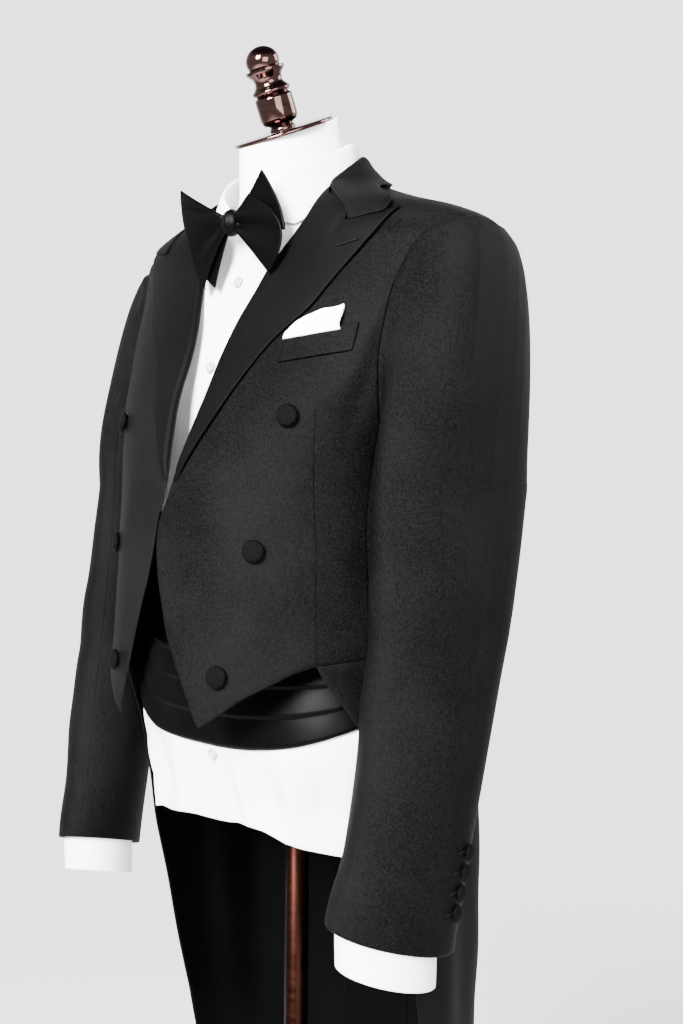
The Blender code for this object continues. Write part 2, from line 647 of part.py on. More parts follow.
def coat_collar():
    """Leaf of the collar, from one gorge seam round the back of the neck to the other."""
    down, end_angle, end_level = (np.array(c) for c in (COLLAR_DOWN, COLLAR_END_ANGLE, COLLAR_END_LEVEL))
    along = np.concatenate([np.linspace(0.0, COLLAR_RUN, 5), np.linspace(COLLAR_RUN, 1.0, 6)[1:]])
    along = np.concatenate([along - 1.0, (1.0 - along)[::-1][1:]])
    share = 1.0 - np.abs(along)
    settle = np.clip(share / COLLAR_RUN, 0.0, 1.0)
    angle = 180.0 + np.sign(along)[None] * (1.0 - share)[None] * (180.0 - end_angle)[:, None]
    edge = COLLAR_EDGE + COLLAR_EDGE_RISE * np.minimum(share / (2 * COLLAR_RUN), 1.0)
    rest = COLLAR_FOLD + (edge[None] - COLLAR_FOLD) * down[:, None]
    level = end_level[:, None] + (rest - end_level[:, None]) * np.sin(settle * math.pi / 2)[None]
    panel("coat_collar", COAT, angle, level, "wool", COLLAR_OUT, 0.0022)


def armhole_ring():
    """Seam points of the left armhole with the ways out of the cloth there, and how far each is under the arm."""
    levels = np.array([v for v in BODY_LEVELS if UNDERARM < v <= SHOULDER_TIP])
    front = curve(ARMHOLE, "angle", levels)
    front[-1] = SHOULDER_SEAM
    under = np.linspace(180.0 - SIDE_ANGLE, SIDE_ANGLE, UNDER_COLUMNS)
    dip = UNDERARM - UNDER_DIP * np.sin(np.linspace(0.0, math.pi, UNDER_COLUMNS))
    angle = np.concatenate([under, front, (180.0 - front)[::-1][1:]])
    level = np.concatenate([dip, levels, levels[::-1][1:]])
    below = np.zeros_like(angle)
    below[:UNDER_COLUMNS], below[[0, UNDER_COLUMNS - 1]] = 1.0, 0.5
    points, out = skin(COAT, angle, level), normals(COAT, angle, level)
    centre = points.mean(axis=0)
    ring_way = unit(np.roll(points, -1, axis=0) - np.roll(points, 1, axis=0))
    away = unit(np.cross(out, ring_way))
    away *= np.sign(((centre - points) * away).sum(axis=-1, keepdims=True))
    return points, out, away, below


def sleeve_frame(level):
    """Centre, forward way and outward way of the sleeve's section at a level."""
    turn = math.radians(float(curve(SLEEVE, "turn", level)))
    centre = np.array([curve(SLEEVE, "across", level), curve(SLEEVE, "forward", level), level], float)
    ahead = np.array([-math.cos(turn), -math.sin(turn), 0.0])
    return centre, ahead, np.array([math.sin(turn), -math.cos(turn), 0.0])


def section(level, around, depth, width):
    """Ellipse of a sleeve at a level, read at places round the arm, in radians from its outer side."""
    centre, ahead, outward = sleeve_frame(level)
    return centre + np.sin(around)[:, None] * depth * ahead + np.cos(around)[:, None] * width * outward


def sleeve_points():
    """Outer grid of the left sleeve, its inward ways, and the place of each column round the arm."""
    points, out, away, below = armhole_ring()
    middle = (points[:, 2].max() + points[:, 2].min()) / 2
    around = np.arctan2(-(points[:, 1] - points[:, 1].mean()) / 0.07, (points[:, 2] - middle) / 0.09)
    turn = math.pi * below[:, None]
    inward = -out * np.cos(turn) + away * np.sin(turn)
    start = points + SEAM * 2.5 * unit(away * (1 - below[:, None]) + out * below[:, None])
    top = SLEEVE["level"][-1]
    end = section(top, around, SLEEVE["depth"][-1], SLEEVE["width"][-1])
    reach = np.linalg.norm(end - start, axis=-1, keepdims=True)
    outward = np.array([1.0, 0.0, -0.15])
    lead = unit(outward * (1 - below[:, None]) + np.array([0.12, 0.0, -1.0]) * below[:, None])
    rings = []
    for t in CAP_STEPS:
        a, b = start + lead * reach * CAP_SWELL, end + np.array([0.0, -0.02, 1.0]) * reach * CAP_RISE
        rings.append(start * (1 - t) ** 3 + 3 * a * t * (1 - t) ** 2 + 3 * b * t * t * (1 - t) + end * t ** 3)
    for level in SLEEVE_LEVELS:
        rings.append(section(level, around, curve(SLEEVE, "depth", level), curve(SLEEVE, "width", level)))
    grid = np.array(rings)
    round_way = np.roll(grid, -1, axis=1) - np.roll(grid, 1, axis=1)
    inside = unit(np.cross(np.gradient(grid, axis=0), round_way))
    centre = grid.mean(axis=1, keepdims=True)
    inside *= np.sign(((centre - grid) * inside).sum(axis=-1, keepdims=True).mean(axis=1, keepdims=True))
    inside[0] = inward
    return grid, inside, around


def sleeves():
    """Two-piece sleeves set into the armholes, with the shirt's sleeve end and cuff inside."""
    grid, inside, around = sleeve_points()
    count = grid.shape[1]
    under = [(i + count) % count for i in range(-UNDER_SPREAD, UNDER_COLUMNS + UNDER_SPREAD)]
    upper = [i % count for i in range(UNDER_COLUMNS - 1 + UNDER_SPREAD, count - UNDER_SPREAD + 1)]
    for piece, columns in (("under", under), ("top", upper)):
        for name, side in (("left", 1), ("right", -1)):
            outer = grid[:, columns][::-1]
            inner = outer + inside[:, columns][::-1] * CLOTH
            drawn = [mirrored(draw_in(s, ("first_column", "last_column")), side) for s in (outer, inner)]
            wall(f"sleeve_{piece}_{name}", *drawn, "wool")
    for kind, levels, depth, width in (
            ("cuff", (0.781, 0.808, 0.8397), 0.0465, 0.0325), ("sleeve_end", (0.840, 0.870, 0.900), 0.0465,
                                                               0.0325)):
        rings = []
        for level in levels:
            own = max(level, SLEEVE["level"][0])
            room = curve(SLEEVE, "depth", own) - CLOTH - CUFF_CLEAR - depth
            ahead = sleeve_frame(own)[1]
            ring = section(own, around, depth, width) + ahead * room
            ring[:, 2] = level
            rings.append(ring)
        grid_cuff = np.array(rings)
        centre = grid_cuff.mean(axis=1, keepdims=True)
        toward = (centre - grid_cuff) * np.array([1.0, 1.0, 0.0])
        inner = grid_cuff + unit(toward) * SHIRTING
        for name, side in (("left", 1), ("right", -1)):
            wall(f"shirt_{kind}_{name}", mirrored(grid_cuff, side), mirrored(inner, side), "poplin",
                 closed=True)


def pocket():
    """Breast welt with a folded square standing in it."""
    share = np.linspace(0.0, 1.0, 6)
    top = np.interp(share, [0.0, 1.0], [1.3245, 1.3335])
    low = top - 0.0235
    angle = np.stack([23.0 + (49.5 - 23.0) * share] * 3)
    level = low + (top - low) * np.array([0.0, 0.5, 1.0])[:, None]
    panel("breast_welt", COAT, angle, level, "wool", 0.0024, 0.0013)
    across, up = np.meshgrid(np.linspace(0.0, 1.0, 12), np.array([0.0, 0.5, 1.0]))
    peaks = np.interp(across, [0.0, 0.13, 0.3, 0.38, 0.55, 0.66, 0.84, 1.0],
                      [0.002, 0.013, 0.019, 0.017, 0.022, 0.019, 0.022, 0.012])
    base = 1.3250 + 0.0090 * (across * 0.75 + 0.06) + 2 * SEAM
    folds = 0.0008 * np.sin(across * 5.0 * math.pi)
    panel("pocket_square", COAT, 24.5 + 19.0 * across, base + peaks * up, "linen", 0.0042 + folds * up,
          0.0026)


def buttons():
    """Covered buttons of the fronts, the back waist and the sleeves."""
    for name, side in (("left", 1), ("right", -1)):
        for i, (angle, level) in enumerate(zip(FRONT_BUTTONS["angle"], FRONT_BUTTONS["level"])):
            place = skin(COAT, angle, level, BUTTON_LIFT)
            axis = normals(COAT, angle, level)
            button(f"front_button_{i + 1}_{name}", mirrored(place, side), mirrored(axis, side), 0.0102,
                   0.0058,
                   "faille", 14)
        angle, level = 180.0 - angle_at(COAT, BACK_BUTTON_ACROSS, WAIST), WAIST + 0.013
        place, axis = skin(COAT, angle, level, SLEEVE_BUTTON_LIFT), normals(COAT, angle, level)
        button(f"back_button_{name}", mirrored(place, side), mirrored(axis, side), 0.0102, 0.0058,
               "faille", 14)
        for i in range(SLEEVE_BUTTONS):
            level = SLEEVE_BUTTON_LOW + i * SLEEVE_BUTTON_STEP
            around = np.array([SLEEVE_BUTTON_TURN, SLEEVE_BUTTON_TURN - 0.01, SLEEVE_BUTTON_TURN + 0.01])
            a, b, c = section(level, around, curve(SLEEVE, "depth", level), curve(SLEEVE, "width", level))
            out = np.cross(c - b, np.array([0.0, 0.0, 1.0]))
            out = unit(out) * np.sign(np.dot(out, a - sleeve_frame(level)[0]))
            place = a + out * SLEEVE_BUTTON_LIFT
            button(f"sleeve_button_{i + 1}_{name}", mirrored(place, side), mirrored(out, side), 0.0074,
                   0.0040,
                   "faille", 12)


for old in list(bpy.data.objects):
    bpy.data.objects.remove(old)
COLLECTION = bpy.data.collections.new("tailcoat_on_dress_form")
bpy.context.scene.collection.children.link(COLLECTION)
stand()
dress_form()
shirt()
cummerbund()
bow_tie()
coat_body()
lapels()
coat_collar()
sleeves()
pocket()
buttons()
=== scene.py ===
"""Looks of an evening tailcoat, dress shirt, bow tie and cummerbund on a limbless dress form with its stand.

Metres, +Z up, the garment faces -Y and the wearer's left is +X. Every piece of cloth is a grid of points on a body's
sections, moved out by its own folds, and given its thickness with round edges. Angles are in degrees from the centre
front. A grid is made for the left side, and the right side is its mirror image.
"""

import math

import bmesh
import bpy
import numpy as np
from mathutils import Matrix, Vector


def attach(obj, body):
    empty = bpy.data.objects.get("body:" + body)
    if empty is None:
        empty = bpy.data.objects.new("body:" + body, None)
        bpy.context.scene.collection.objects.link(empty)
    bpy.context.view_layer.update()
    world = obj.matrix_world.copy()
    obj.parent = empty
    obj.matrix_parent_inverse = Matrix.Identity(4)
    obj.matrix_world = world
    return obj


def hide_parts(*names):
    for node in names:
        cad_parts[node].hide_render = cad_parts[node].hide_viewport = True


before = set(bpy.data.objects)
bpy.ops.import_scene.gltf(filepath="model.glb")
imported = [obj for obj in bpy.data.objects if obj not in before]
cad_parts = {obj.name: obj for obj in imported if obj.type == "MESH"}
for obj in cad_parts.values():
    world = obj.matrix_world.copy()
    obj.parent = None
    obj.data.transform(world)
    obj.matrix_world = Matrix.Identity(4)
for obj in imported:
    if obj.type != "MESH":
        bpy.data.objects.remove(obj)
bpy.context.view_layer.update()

SIDES = ((1, "left"), (-1, "right"))
UPWARD = np.array([0.0, 0.0, 1.0])

# Walls of the cloths, and the gap between pieces that are sewn together.
CLOTH, LAPEL_CLOTH, WELT_CLOTH = 0.0020, 0.0018, 0.0014
SHIRTING, COLLAR_SHIRTING, SASH_SATIN, BOW_SATIN, SQUARE_LINEN = 0.0012, 0.0010, 0.0016, 0.0020, 0.0020
SEAM_GAP = 0.0003

# Length, radius and spacing of the stitches, and the radii of the threads and seams laid on as fine cords.
SHIRT_STITCH, PICK_STITCH = (0.0022, 0.00022, 0.0032), (0.0014, 0.0002, 0.0042)
BUTTON_THREAD, LAPEL_BUTTONHOLE, SLEEVE_BUTTONHOLE, DART_RADIUS = 0.00028, 0.0011, 0.0007, 0.00036

# The coat's levels, the angles of its side and shoulder seams, the dip under the arm, and the gap over the tails.
UNDERARM, SHOULDER_TIP, NECKLINE, WAIST, TAIL_HEM = 1.245, 1.431, 1.492, 1.045, 0.470
SIDE_ANGLE, SHOULDER_ANGLE, UNDERARM_DIP, TAIL_GAP = 72.0, 90.0, 0.006, 0.0012

# Lapels: lowest point, height and radius of the roll, how far it settles outwards, and the levels of peak and gorge.
LAPEL_START, LAPEL_LIFT, ROLL_RADIUS, LAPEL_SETTLE, PEAK_LEVEL, GORGE_LOW = 1.195, 0.0052, 0.007, 0.34, 1.4383, 1.4298

# Pick stitching of lapel and front edge, dart seam, and the buttonhole of the left lapel.
LAPEL_STITCH_ACROSS, EDGE_STITCH_IN, EDGE_STITCH_LEVELS, DART_LEVELS = 0.955, 0.003, (0.990, 1.190), (1.258, 1.037)
BUTTONHOLE_ANGLES, BUTTONHOLE_LEVELS = (32.0, 38.6), (1.4035, 1.4080)

# The coat's collar: share of the sheet that stands, levels of its fold and stand, and the leaf's edge and its rise.
STAND_SHARE, COLLAR_FOLD, STAND_DROP, COLLAR_EDGE, COLLAR_EDGE_RISE = 0.35, 1.508, 0.020, 1.4630, 0.0140

# Sleeve: its hem, the level where its two pieces part at the armhole, and how its cap leaves shoulder and arm.
SLEEVE_HEM, SLEEVE_SPLIT, CAP_REACH, ARM_REACH = 0.809, 1.305, 0.19, 0.38
CAP_LEAD, UNDER_LEAD, ARM_LEAD = np.array([1.0, 0.0, -0.15]), np.array([0.12, 0.0, -1.0]), np.array([0.0, -0.02, 1.0])

# How far the right sleeve's end hangs lower and further back: where it starts, and the wrist's middle and half depth.
WRIST_TOP, WRIST_FADE, WRIST_MIDDLE, WRIST_HALF = 0.93, 0.15, -0.093, 0.056
WRIST_BACK, WRIST_DROP, WRIST_TILT = 0.006, 0.0087, 0.0043

# Shirt: hem, stand-off, button stand, the levels of chest, yoke and neckband, armholes, stitches and hem folds.
SHIRT_HEM, SHIRT_OUT, PLACKET_HALF, PLACKET_STEP, SHIRT_ROWS = 0.872, 0.0055, 0.017, 0.0006, 110
CHEST_LEVEL, YOKE_LEVEL, YOKE_RISE, THROAT_LEVEL, NAPE_RISE, BAND_IN = 1.400, 1.425, 0.045, 1.445, 0.029, 0.0024
ARMHOLE_HALF, ARMHOLE_LOW, ARMHOLE_HEIGHT = 26.0, 1.26, 0.18
PLACKET_LAP, STITCH_INSET, STITCH_OUT, STAND_TOP = 0.0008, 0.0035, 0.0001, 1.415
HEM_FADE_TOP, HEM_FADE, DEEPEST_FOLD = 0.945, 0.075, -0.0040

# The shirt's collar: angles of the front ends of band, fold and leaf, levels of fold and edge, and their rises.
BAND_FRONT, FOLD_FRONT, LEAF_FRONT = 3.0, 7.0, 44.0
FOLD_LEVEL, FOLD_RISE, LEAF_EDGE, LEAF_EDGE_RISE = 1.472, 0.048, 1.443, 0.025

# Cuff and sleeve end: kind, lowest and highest level, and bulge. Then the tube's half depth, half width and slant.
CUFF_PARTS = (("cuff", 0.781, 0.8397, 0.0006), ("sleeve_end", 0.8402, 0.900, 0.0))
CUFF_DEPTH, CUFF_WIDTH, CUFF_ROOM, CUFF_STITCH_LEVEL, CUFF_STITCH_OUT = 0.0435, 0.0320, 0.0508, 0.7845, 0.0009
CUFF_SLANT, CUFF_DROP, CUFF_FADE_TOP, CUFF_FADE = 0.75, 0.0030, 0.84, 0.03

# Cummerbund: stand-off, pleats, and its lower and upper edge at the back with their fall and rise to the front.
SASH_OUT, PLEATS, PLEAT_STEP = 0.0085, 5, 0.0018
SASH_LOW, SASH_DROP, SASH_HIGH, SASH_RISE = 1.020, 0.070, 1.056, 0.030

# Breast welt and pocket square: first angle, span and slant, then levels.
WELT_ANGLE, WELT_SPAN, WELT_SLANT, WELT_TOP, WELT_RISE, WELT_HEIGHT = 23.0, 26.5, 1.6, 1.3245, 0.0090, 0.0235
SQUARE_ANGLE, SQUARE_SPAN, SQUARE_SLANT, SQUARE_LEVEL, SQUARE_SUNK = 22.0, 19.4, 1.5, 1.3250, 0.004

# Buttons: radius and height of the covered ones, their places, and the (angle, level) of the shirt's.
COAT_BUTTON, SLEEVE_BUTTON, BUTTON_OUT = (0.0102, 0.0058), (0.0074, 0.0042), 0.0010
BACK_BUTTON_ACROSS, BACK_BUTTON_RISE, SLEEVE_BUTTON_LEVEL, SLEEVE_BUTTON_STEP = 0.044, 0.013, 0.836, 0.0165
SLEEVE_BUTTON_AROUND, SLEEVE_HOLE_AROUND, SLEEVE_BUTTON_OUT, SLEEVE_HOLE_RISE = -0.91, (-0.85, -0.60), 0.0009, 0.002
SHIRT_BUTTONS = ((1.8, 0.942), (-0.6, 1.301), (1.1, 1.382))

# Layers of the bow: side, depth, then the top, middle and bottom of the outer edge as (across, level).
BOW_WINGS = (
    ("back_left", 1, -0.0955, 0.048, 1.482, 0.068, 1.452, 0.077, 1.425),
    ("front_left", 1, -0.1000, 0.036, 1.461, 0.076, 1.428, 0.062, 1.387),
    ("back_right", -1, -0.0955, 0.079, 1.482, 0.062, 1.425, 0.018, 1.381),
    ("front_right", -1, -0.1000, 0.069, 1.464, 0.053, 1.420, 0.031, 1.380),
)
BOW_LEVEL, BOW_ROOT, BOW_ROOT_HALF, BOW_CURVE, BOW_REACH = 1.438, 0.0070, 0.0090, 0.006, 0.080
KNOT_CENTRE, KNOT_HALVES = (0.0100, -0.0965, 1.438), (0.0100, 0.0098, 0.0132)

# Dress form and stand. Its end rings shrink to the shares given. Profiles are (radius, height) from top to bottom.
FORM_LOW, FORM_HIGH, END_RINGS, COVER_GIRTH = 0.900, 1.546, (0.97, 0.5, 0.02), 0.15
NECK_TILT, NECK_TOP = math.radians(24.0), (0.0, -0.0225, 1.5360)
POLE_RADIUS, POLE_TOP, POLE_BOTTOM, POLE_ROUND = 0.012, 0.8997, 0.0163, 0.0004
BASE_PROFILE = [
    (0, 0.0175), (0.020, 0.0173), (0.026, 0.0160), (0.10, 0.0155), (0.165, 0.0125), (0.184, 0.0095), (0.1890, 0.0070),
    (0.1900, 0.0045), (0.1895, 0.0015), (0.1880, 0.0), (0, 0)]
PLATE_PROFILE = [
    (0, 0.0034), (0.0492, 0.0034), (0.0500, 0.0029), (0.0503, 0.0022), (0.0503, 0.0008), (0.0498, 0.0), (0, 0)]
FINIAL_FOOT, BALL_RADIUS, BALL_LEVEL, BALL_HALF, BALL_END = 0.0037, 0.0165, 0.0665, 0.0145, 1.95
FINIAL_PROFILE = [
    (0.0162, 0.0605), (0.0190, 0.0598), (0.0194, 0.0583), (0.0186, 0.0562), (0.0150, 0.0525), (0.0136, 0.0485),
    (0.0140, 0.0450), (0.0172, 0.0412), (0.0186, 0.0400), (0.0190, 0.0385), (0.0183, 0.0368), (0.0160, 0.0352),
    (0.0166, 0.0342), (0.0184, 0.0330), (0.0188, 0.0315), (0.0188, 0.0135), (0.0183, 0.0110), (0.0166, 0.0080),
    (0.0128, 0.0064), (0.0112, 0.0052), (0.0118, 0.0040), (0.0128, 0.0028), (0.0130, 0.0006), (0.0126, 0.0), (0, 0)]
SHIRT_BUTTON_PROFILE = [
    (0, 0.0014), (0.0030, 0.0014), (0.0038, 0.0018), (0.0044, 0.0021), (0.0050, 0.0020), (0.0055, 0.0014),
    (0.0056, 0.0008), (0.0050, 0.0001), (0, 0)]

# Studio: brightness and fading of the backdrop, lights as (place, size, power), the point they face, and the camera.
BRIGHT, DIM, FLOOR_RADIUS, FLOOR_FADE = 2.8, 0.9, 60, (0.6, 3.0)
GLOW_WAY, GLOW_RANGE, OVERHEAD_RANGE, OVERHEAD_DIM = (-0.72, 0.69, 0.0), (0.5, 0.9), (0.42, 0.85), 0.12
LIGHTS = {
    "key": ((1.0, -3.4, 2.9), 1.6, 2100.0),
    "fill": ((3.2, -1.4, 1.6), 2.2, 210.0),
    "back": ((1.2, 2.6, 2.8), 1.6, 120.0),
}
LIT_POINT = (0, 0, 1.15)
CAMERA_PLACE, CAMERA_WAY, CAMERA_ROLL = (0.990, -0.894, 1.200), (-0.72, 0.693, -0.026), math.radians(0.4)
CAMERA_LENS, CAMERA_SENSOR = 46.9, 36.0


def table(text):
    """Named columns of a short table, each as an array."""
    names, *rows = (line.split() for line in text.strip().splitlines())
    return {name: np.array([float(row[i]) for row in rows]) for i, name in enumerate(names)}


# Sections of the dress form; tilt lifts the back.
FORM = table("""
level half_width front  back  tilt  square
0.900 0.156     -0.104  0.098 0.00  2.6
0.950 0.166     -0.113  0.114 0.00  2.8
1.030 0.156     -0.110  0.102 0.00  2.6
1.100 0.148     -0.109  0.096 0.00  2.3
1.200 0.154     -0.110  0.108 0.00  2.3
1.300 0.170     -0.103  0.128 0.00  2.4
1.360 0.178     -0.084  0.130 0.00  2.3
1.400 0.176     -0.0725 0.122 0.00  2.2
1.425 0.150     -0.0675 0.108 0.03  2.1
1.445 0.105     -0.068  0.088 0.08  2.0
1.460 0.073     -0.066  0.067 0.16  2.0
1.480 0.057     -0.065  0.046 0.28  2.0
1.510 0.051     -0.067  0.034 0.38  2.0
1.546 0.049     -0.069  0.024 0.445 2.0
""")

# Sections of the coat, from the hem of the tails to the fold of the collar.
COAT = table("""
level half_width front  back  tilt square
0.440 0.170     -0.180  0.172 0.00 2.2
0.650 0.180     -0.180  0.163 0.00 2.2
0.830 0.186     -0.180  0.152 0.00 2.3
0.975 0.186     -0.180  0.134 0.00 2.3
1.030 0.178     -0.175  0.122 0.00 2.3
1.100 0.169     -0.170  0.116 0.00 2.4
1.180 0.168     -0.162  0.121 0.00 2.5
1.250 0.181     -0.143  0.138 0.00 2.8
1.330 0.198     -0.110  0.150 0.00 2.9
1.380 0.212     -0.089  0.150 0.00 2.6
1.410 0.224     -0.078  0.142 0.00 2.3
1.430 0.222     -0.073  0.132 0.03 2.2
1.447 0.185     -0.070  0.118 0.05 2.2
1.462 0.134     -0.068  0.096 0.08 2.2
1.475 0.100     -0.067  0.075 0.10 2.1
1.490 0.081     -0.066  0.064 0.10 2.0
1.512 0.067     -0.066  0.049 0.02 2.0
""")

# Sections that the shirt's collar follows.
NECKBAND = table("""
level half_width front  back  tilt square
1.430 0.104     -0.095  0.084 0.16 2.0
1.465 0.080     -0.086  0.066 0.20 2.0
1.500 0.0655    -0.0805 0.0485 0.20 2.0
1.520 0.0625    -0.079  0.0435 0.20 2.0
""")

# Front edges: distances from the middle of the cut-away edge, the closing and the lapel's roll line.
EDGE = table("""
level left   right
0.979 0.060  0.058
1.018 0.036  0.050
1.055 0.014  0.040
1.082 0.004  0.031
1.113 -0.006 0.021
1.145 -0.010 0.0145
1.161 -0.008 0.0125
1.176 -0.002 0.0085
1.203 0.005  0.008
1.233 0.013  0.013
1.273 0.021  0.021
1.314 0.025  0.025
1.341 0.031  0.031
1.368 0.041  0.041
1.389 0.049  0.049
1.428 0.0745 0.0745
1.447 0.0850 0.0850
1.462 0.0875 0.0875
1.490 0.0795 0.0795
""")

# Outer edge of the lapel, as distances from the middle.
LAPEL = table("""
level across
1.195 0.009
1.227 0.028
1.257 0.046
1.289 0.064
1.321 0.086
1.350 0.117
1.370 0.130
1.407 0.156
1.439 0.177
""")

# Top edge of the lapel: the gorge seam, the notch and the peak.
GORGE = table("""
along level
0.000 1.4810
0.180 1.4705
0.380 1.4530
0.445 1.4410
0.500 1.4298
0.780 1.4342
1.000 1.4378
""")

# Front half of the armhole, as angles from the centre front; the back half mirrors it.
ARMHOLE = table("""
level angle
1.245 72.0
1.275 68.0
1.305 63.5
1.335 60.5
1.360 58.5
1.385 58.5
1.405 60.0
1.418 66.0
1.431 90.0
""")

# Seam between the side body and the back.
BACK_SEAM = table("""
level angle
1.045 165.5
1.080 164.0
1.130 155.0
1.180 138.0
1.215 122.0
1.245 108.0
""")

# Front edge of the tails, and half the width of the back pieces below the waist.
TAIL = table("""
level edge_angle back_half
0.470 100.0      0.092
0.600 92.5       0.084
0.830 80.0       0.066
0.981 68.0       0.050
1.013 61.0       0.047
1.036 55.5       0.045
1.045 54.0       0.044
""")

# Cut-away hem of the fronts, from the point to the side.
HEM = table("""
across level
0.059  0.979
0.073  0.988
0.100  1.008
0.120  1.020
0.135  1.030
0.147  1.036
0.190  1.045
""")

# Dart seam of a front.
DART = table("""
level angle
1.037 53.5
1.100 54.3
1.150 54.0
1.205 50.5
1.258 44.7
""")

# Horizontal sections of the left sleeve. Turn is the long axis's heading from +X, in degrees.
SLEEVE = table("""
level across  forward depth  width  turn
0.780 0.2193 -0.0960 0.0560 0.0366 63.0
0.809 0.2200 -0.0930 0.0565 0.0370 64.0
0.880 0.2230 -0.0770 0.0565 0.0380 67.0
0.940 0.2250 -0.0650 0.0580 0.0410 70.0
1.020 0.2250 -0.0490 0.0625 0.0440 73.0
1.100 0.2220 -0.0320 0.0700 0.0440 76.0
1.190 0.2180 -0.0170 0.0787 0.0415 78.0
""")

# Covered buttons of a front.
FRONT_BUTTONS = table("""
angle level
34.8  1.253
33.4  1.135
22.3  1.024
""")

# Ends of the coat's collar, laid along the gorge seam and out to the peak.
COLLAR_END = table("""
leaf angle level
0.00 62.5  1.4785
0.25 51.0  1.4695
0.50 40.2  1.4520
0.62 37.0  1.4408
0.72 34.9  1.4296
1.00 48.5  1.4338
""")

# How far the shirt's hem stands above its level, by the angle from the centre front; negative is the right side.
SHIRT_DROP = table("""
angle drop
-90.0 -0.0100
-44.0 -0.0100
-30.0 -0.0020
-20.0 -0.0010
-5.0  0.0040
5.0   0.0055
9.0   0.0075
20.0  0.0045
30.0  -0.0035
36.0  -0.0055
62.0  -0.0130
90.0  -0.0160
""")

# How far the cummerbund's lower edge stands above its own curve, by the same angle.
SASH_LEAN = table("""
angle  rise
-180.0 0.000
-44.0  0.009
-20.0  0.000
20.0   0.000
62.0   -0.005
180.0  0.000
""")

# Upper edge of the pocket square, along its width.
SQUARE_PEAKS = table("""
share height
0.00  0.0010
0.13  0.0085
0.30  0.0135
0.45  0.0150
0.62  0.0160
0.75  0.0162
0.96  0.0176
1.00  0.0030
""")

# Soft folds: from one place to another, in degrees from the centre front and metres up.
FRONT_FOLDS = table("""
angle1 level1 angle2 level2 width  height
36     1.262  66     1.300  0.016  0.0016
36     1.250  70     1.252  0.020  -0.0014
34     1.140  70     1.115  0.022  0.0014
32     1.126  66     1.085  0.018  -0.0012
58     1.385  54     1.285  0.014  0.0022
64     1.330  60     1.240  0.012  -0.0016
14     1.215  26     1.090  0.024  0.0014
8      1.120  20     1.020  0.016  -0.0010
46     1.060  62     1.045  0.012  0.0012
30     1.390  48     1.362  0.018  0.0012
""")

SIDE_FOLDS = table("""
angle1 level1 angle2 level2 width  height
80     1.210  96     1.100  0.016  0.0014
100    1.200  110    1.090  0.014  -0.0012
78     1.070  128    1.064  0.012  0.0012
""")

BACK_FOLDS = table("""
angle1 level1 angle2 level2 width  height
168    1.310  125    1.395  0.030  0.0022
165    1.250  120    1.275  0.020  -0.0016
172    1.120  150    1.075  0.018  0.0014
176    1.060  158    1.030  0.012  -0.0012
150    1.000  146    0.640  0.022  0.0030
166    0.960  162    0.560  0.026  -0.0026
124    1.010  118    0.620  0.024  0.0030
104    0.980  110    0.560  0.022  -0.0028
92     0.940  100    0.640  0.018  0.0022
136    0.900  134    0.520  0.020  -0.0024
""")

SHIRT_FOLDS = table("""
angle1 level1 angle2 level2 width  height
9      0.948  14     0.876  0.006  0.0060
20     0.944  25     0.878  0.007  -0.0050
28     0.950  38     0.876  0.009  0.0062
43     0.944  49     0.884  0.009  -0.0046
58     0.936  60     0.884  0.011  0.0044
12     1.392  20     1.330  0.012  0.0020
8      1.340  13     1.240  0.010  -0.0018
16     1.290  12     1.200  0.012  0.0016
72     0.930  76     0.880  0.014  0.0030
""")

# Folds of the sleeve; the angle is 0 on its outer side and 90 at the front.
SLEEVE_FOLDS = table("""
angle1 level1 angle2 level2 width  height
70     1.300  40     1.180  0.016  0.0014
95     1.225  30     1.150  0.020  -0.0013
88     1.090  20     1.040  0.018  0.0015
80     1.030  10     1.000  0.014  -0.0012
-60    1.080  -10    1.020  0.020  0.0014
60     0.960  20     0.900  0.016  0.0009
-70    1.240  -30    1.130  0.024  -0.0016
110    1.020  150    0.985  0.018  0.0026
100    1.070  160    1.040  0.016  -0.0024
10     1.330  -10    1.240  0.030  0.0012
""")

# Radii that turn a fold's degrees into metres.
COAT_GIRTH, SHIRT_GIRTH, SLEEVE_GIRTH = 0.17, 0.13, 0.055


# Curves and surfaces

def curve(rows, column, at):
    """Cubic Hermite curve through one column of a table over the level, with the slopes of its neighbours."""
    xs, ys = rows["level"], rows[column]
    slopes = np.gradient(ys, xs)
    i = np.clip(np.searchsorted(xs, at) - 1, 0, len(xs) - 2)
    step = xs[i + 1] - xs[i]
    t = np.clip((at - xs[i]) / step, 0.0, 1.0)
    rise = (1 + 2 * t) * (1 - t) ** 2 * ys[i] + t * t * (3 - 2 * t) * ys[i + 1]
    return rise + step * (t * (1 - t) ** 2 * slopes[i] - t * t * (1 - t) * slopes[i + 1])


def smooth(t):
    """Smooth step from 0 to 1."""
    t = np.clip(t, 0.0, 1.0)
    return t * t * (3 - 2 * t)


def sideways(count):
    """Shares from 0 to 1 along a grid's columns."""
    return np.linspace(0.0, 1.0, count)[None]


def upwards(count):
    """Shares from 0 to 1 along a grid's rows."""
    return np.linspace(0.0, 1.0, count)[:, None]


def from_front(angle):
    """The same angle between -180 and 180."""
    return (angle + 180.0) % 360.0 - 180.0


def unit(ways):
    """Directions scaled to length 1."""
    return ways / np.maximum(np.linalg.norm(ways, axis=-1, keepdims=True), 1e-12)


def on_section(rows, angle, level):
    """Superellipse section: x = half |sin|^(2/n), y = -depth |cos|^(2/n), lifted by tilt times y."""
    turn, half = np.radians(angle), curve(rows, "half_width", level)
    power = 2.0 / curve(rows, "square", level)
    s, c = np.sin(turn), np.cos(turn)
    depth = np.where(c > 0, -curve(rows, "front", level), curve(rows, "back", level))
    x = half * np.sign(s) * np.abs(s) ** power
    y = -depth * np.sign(c) * np.abs(c) ** power
    return np.stack([x, y, level + curve(rows, "tilt", level) * y], axis=-1)


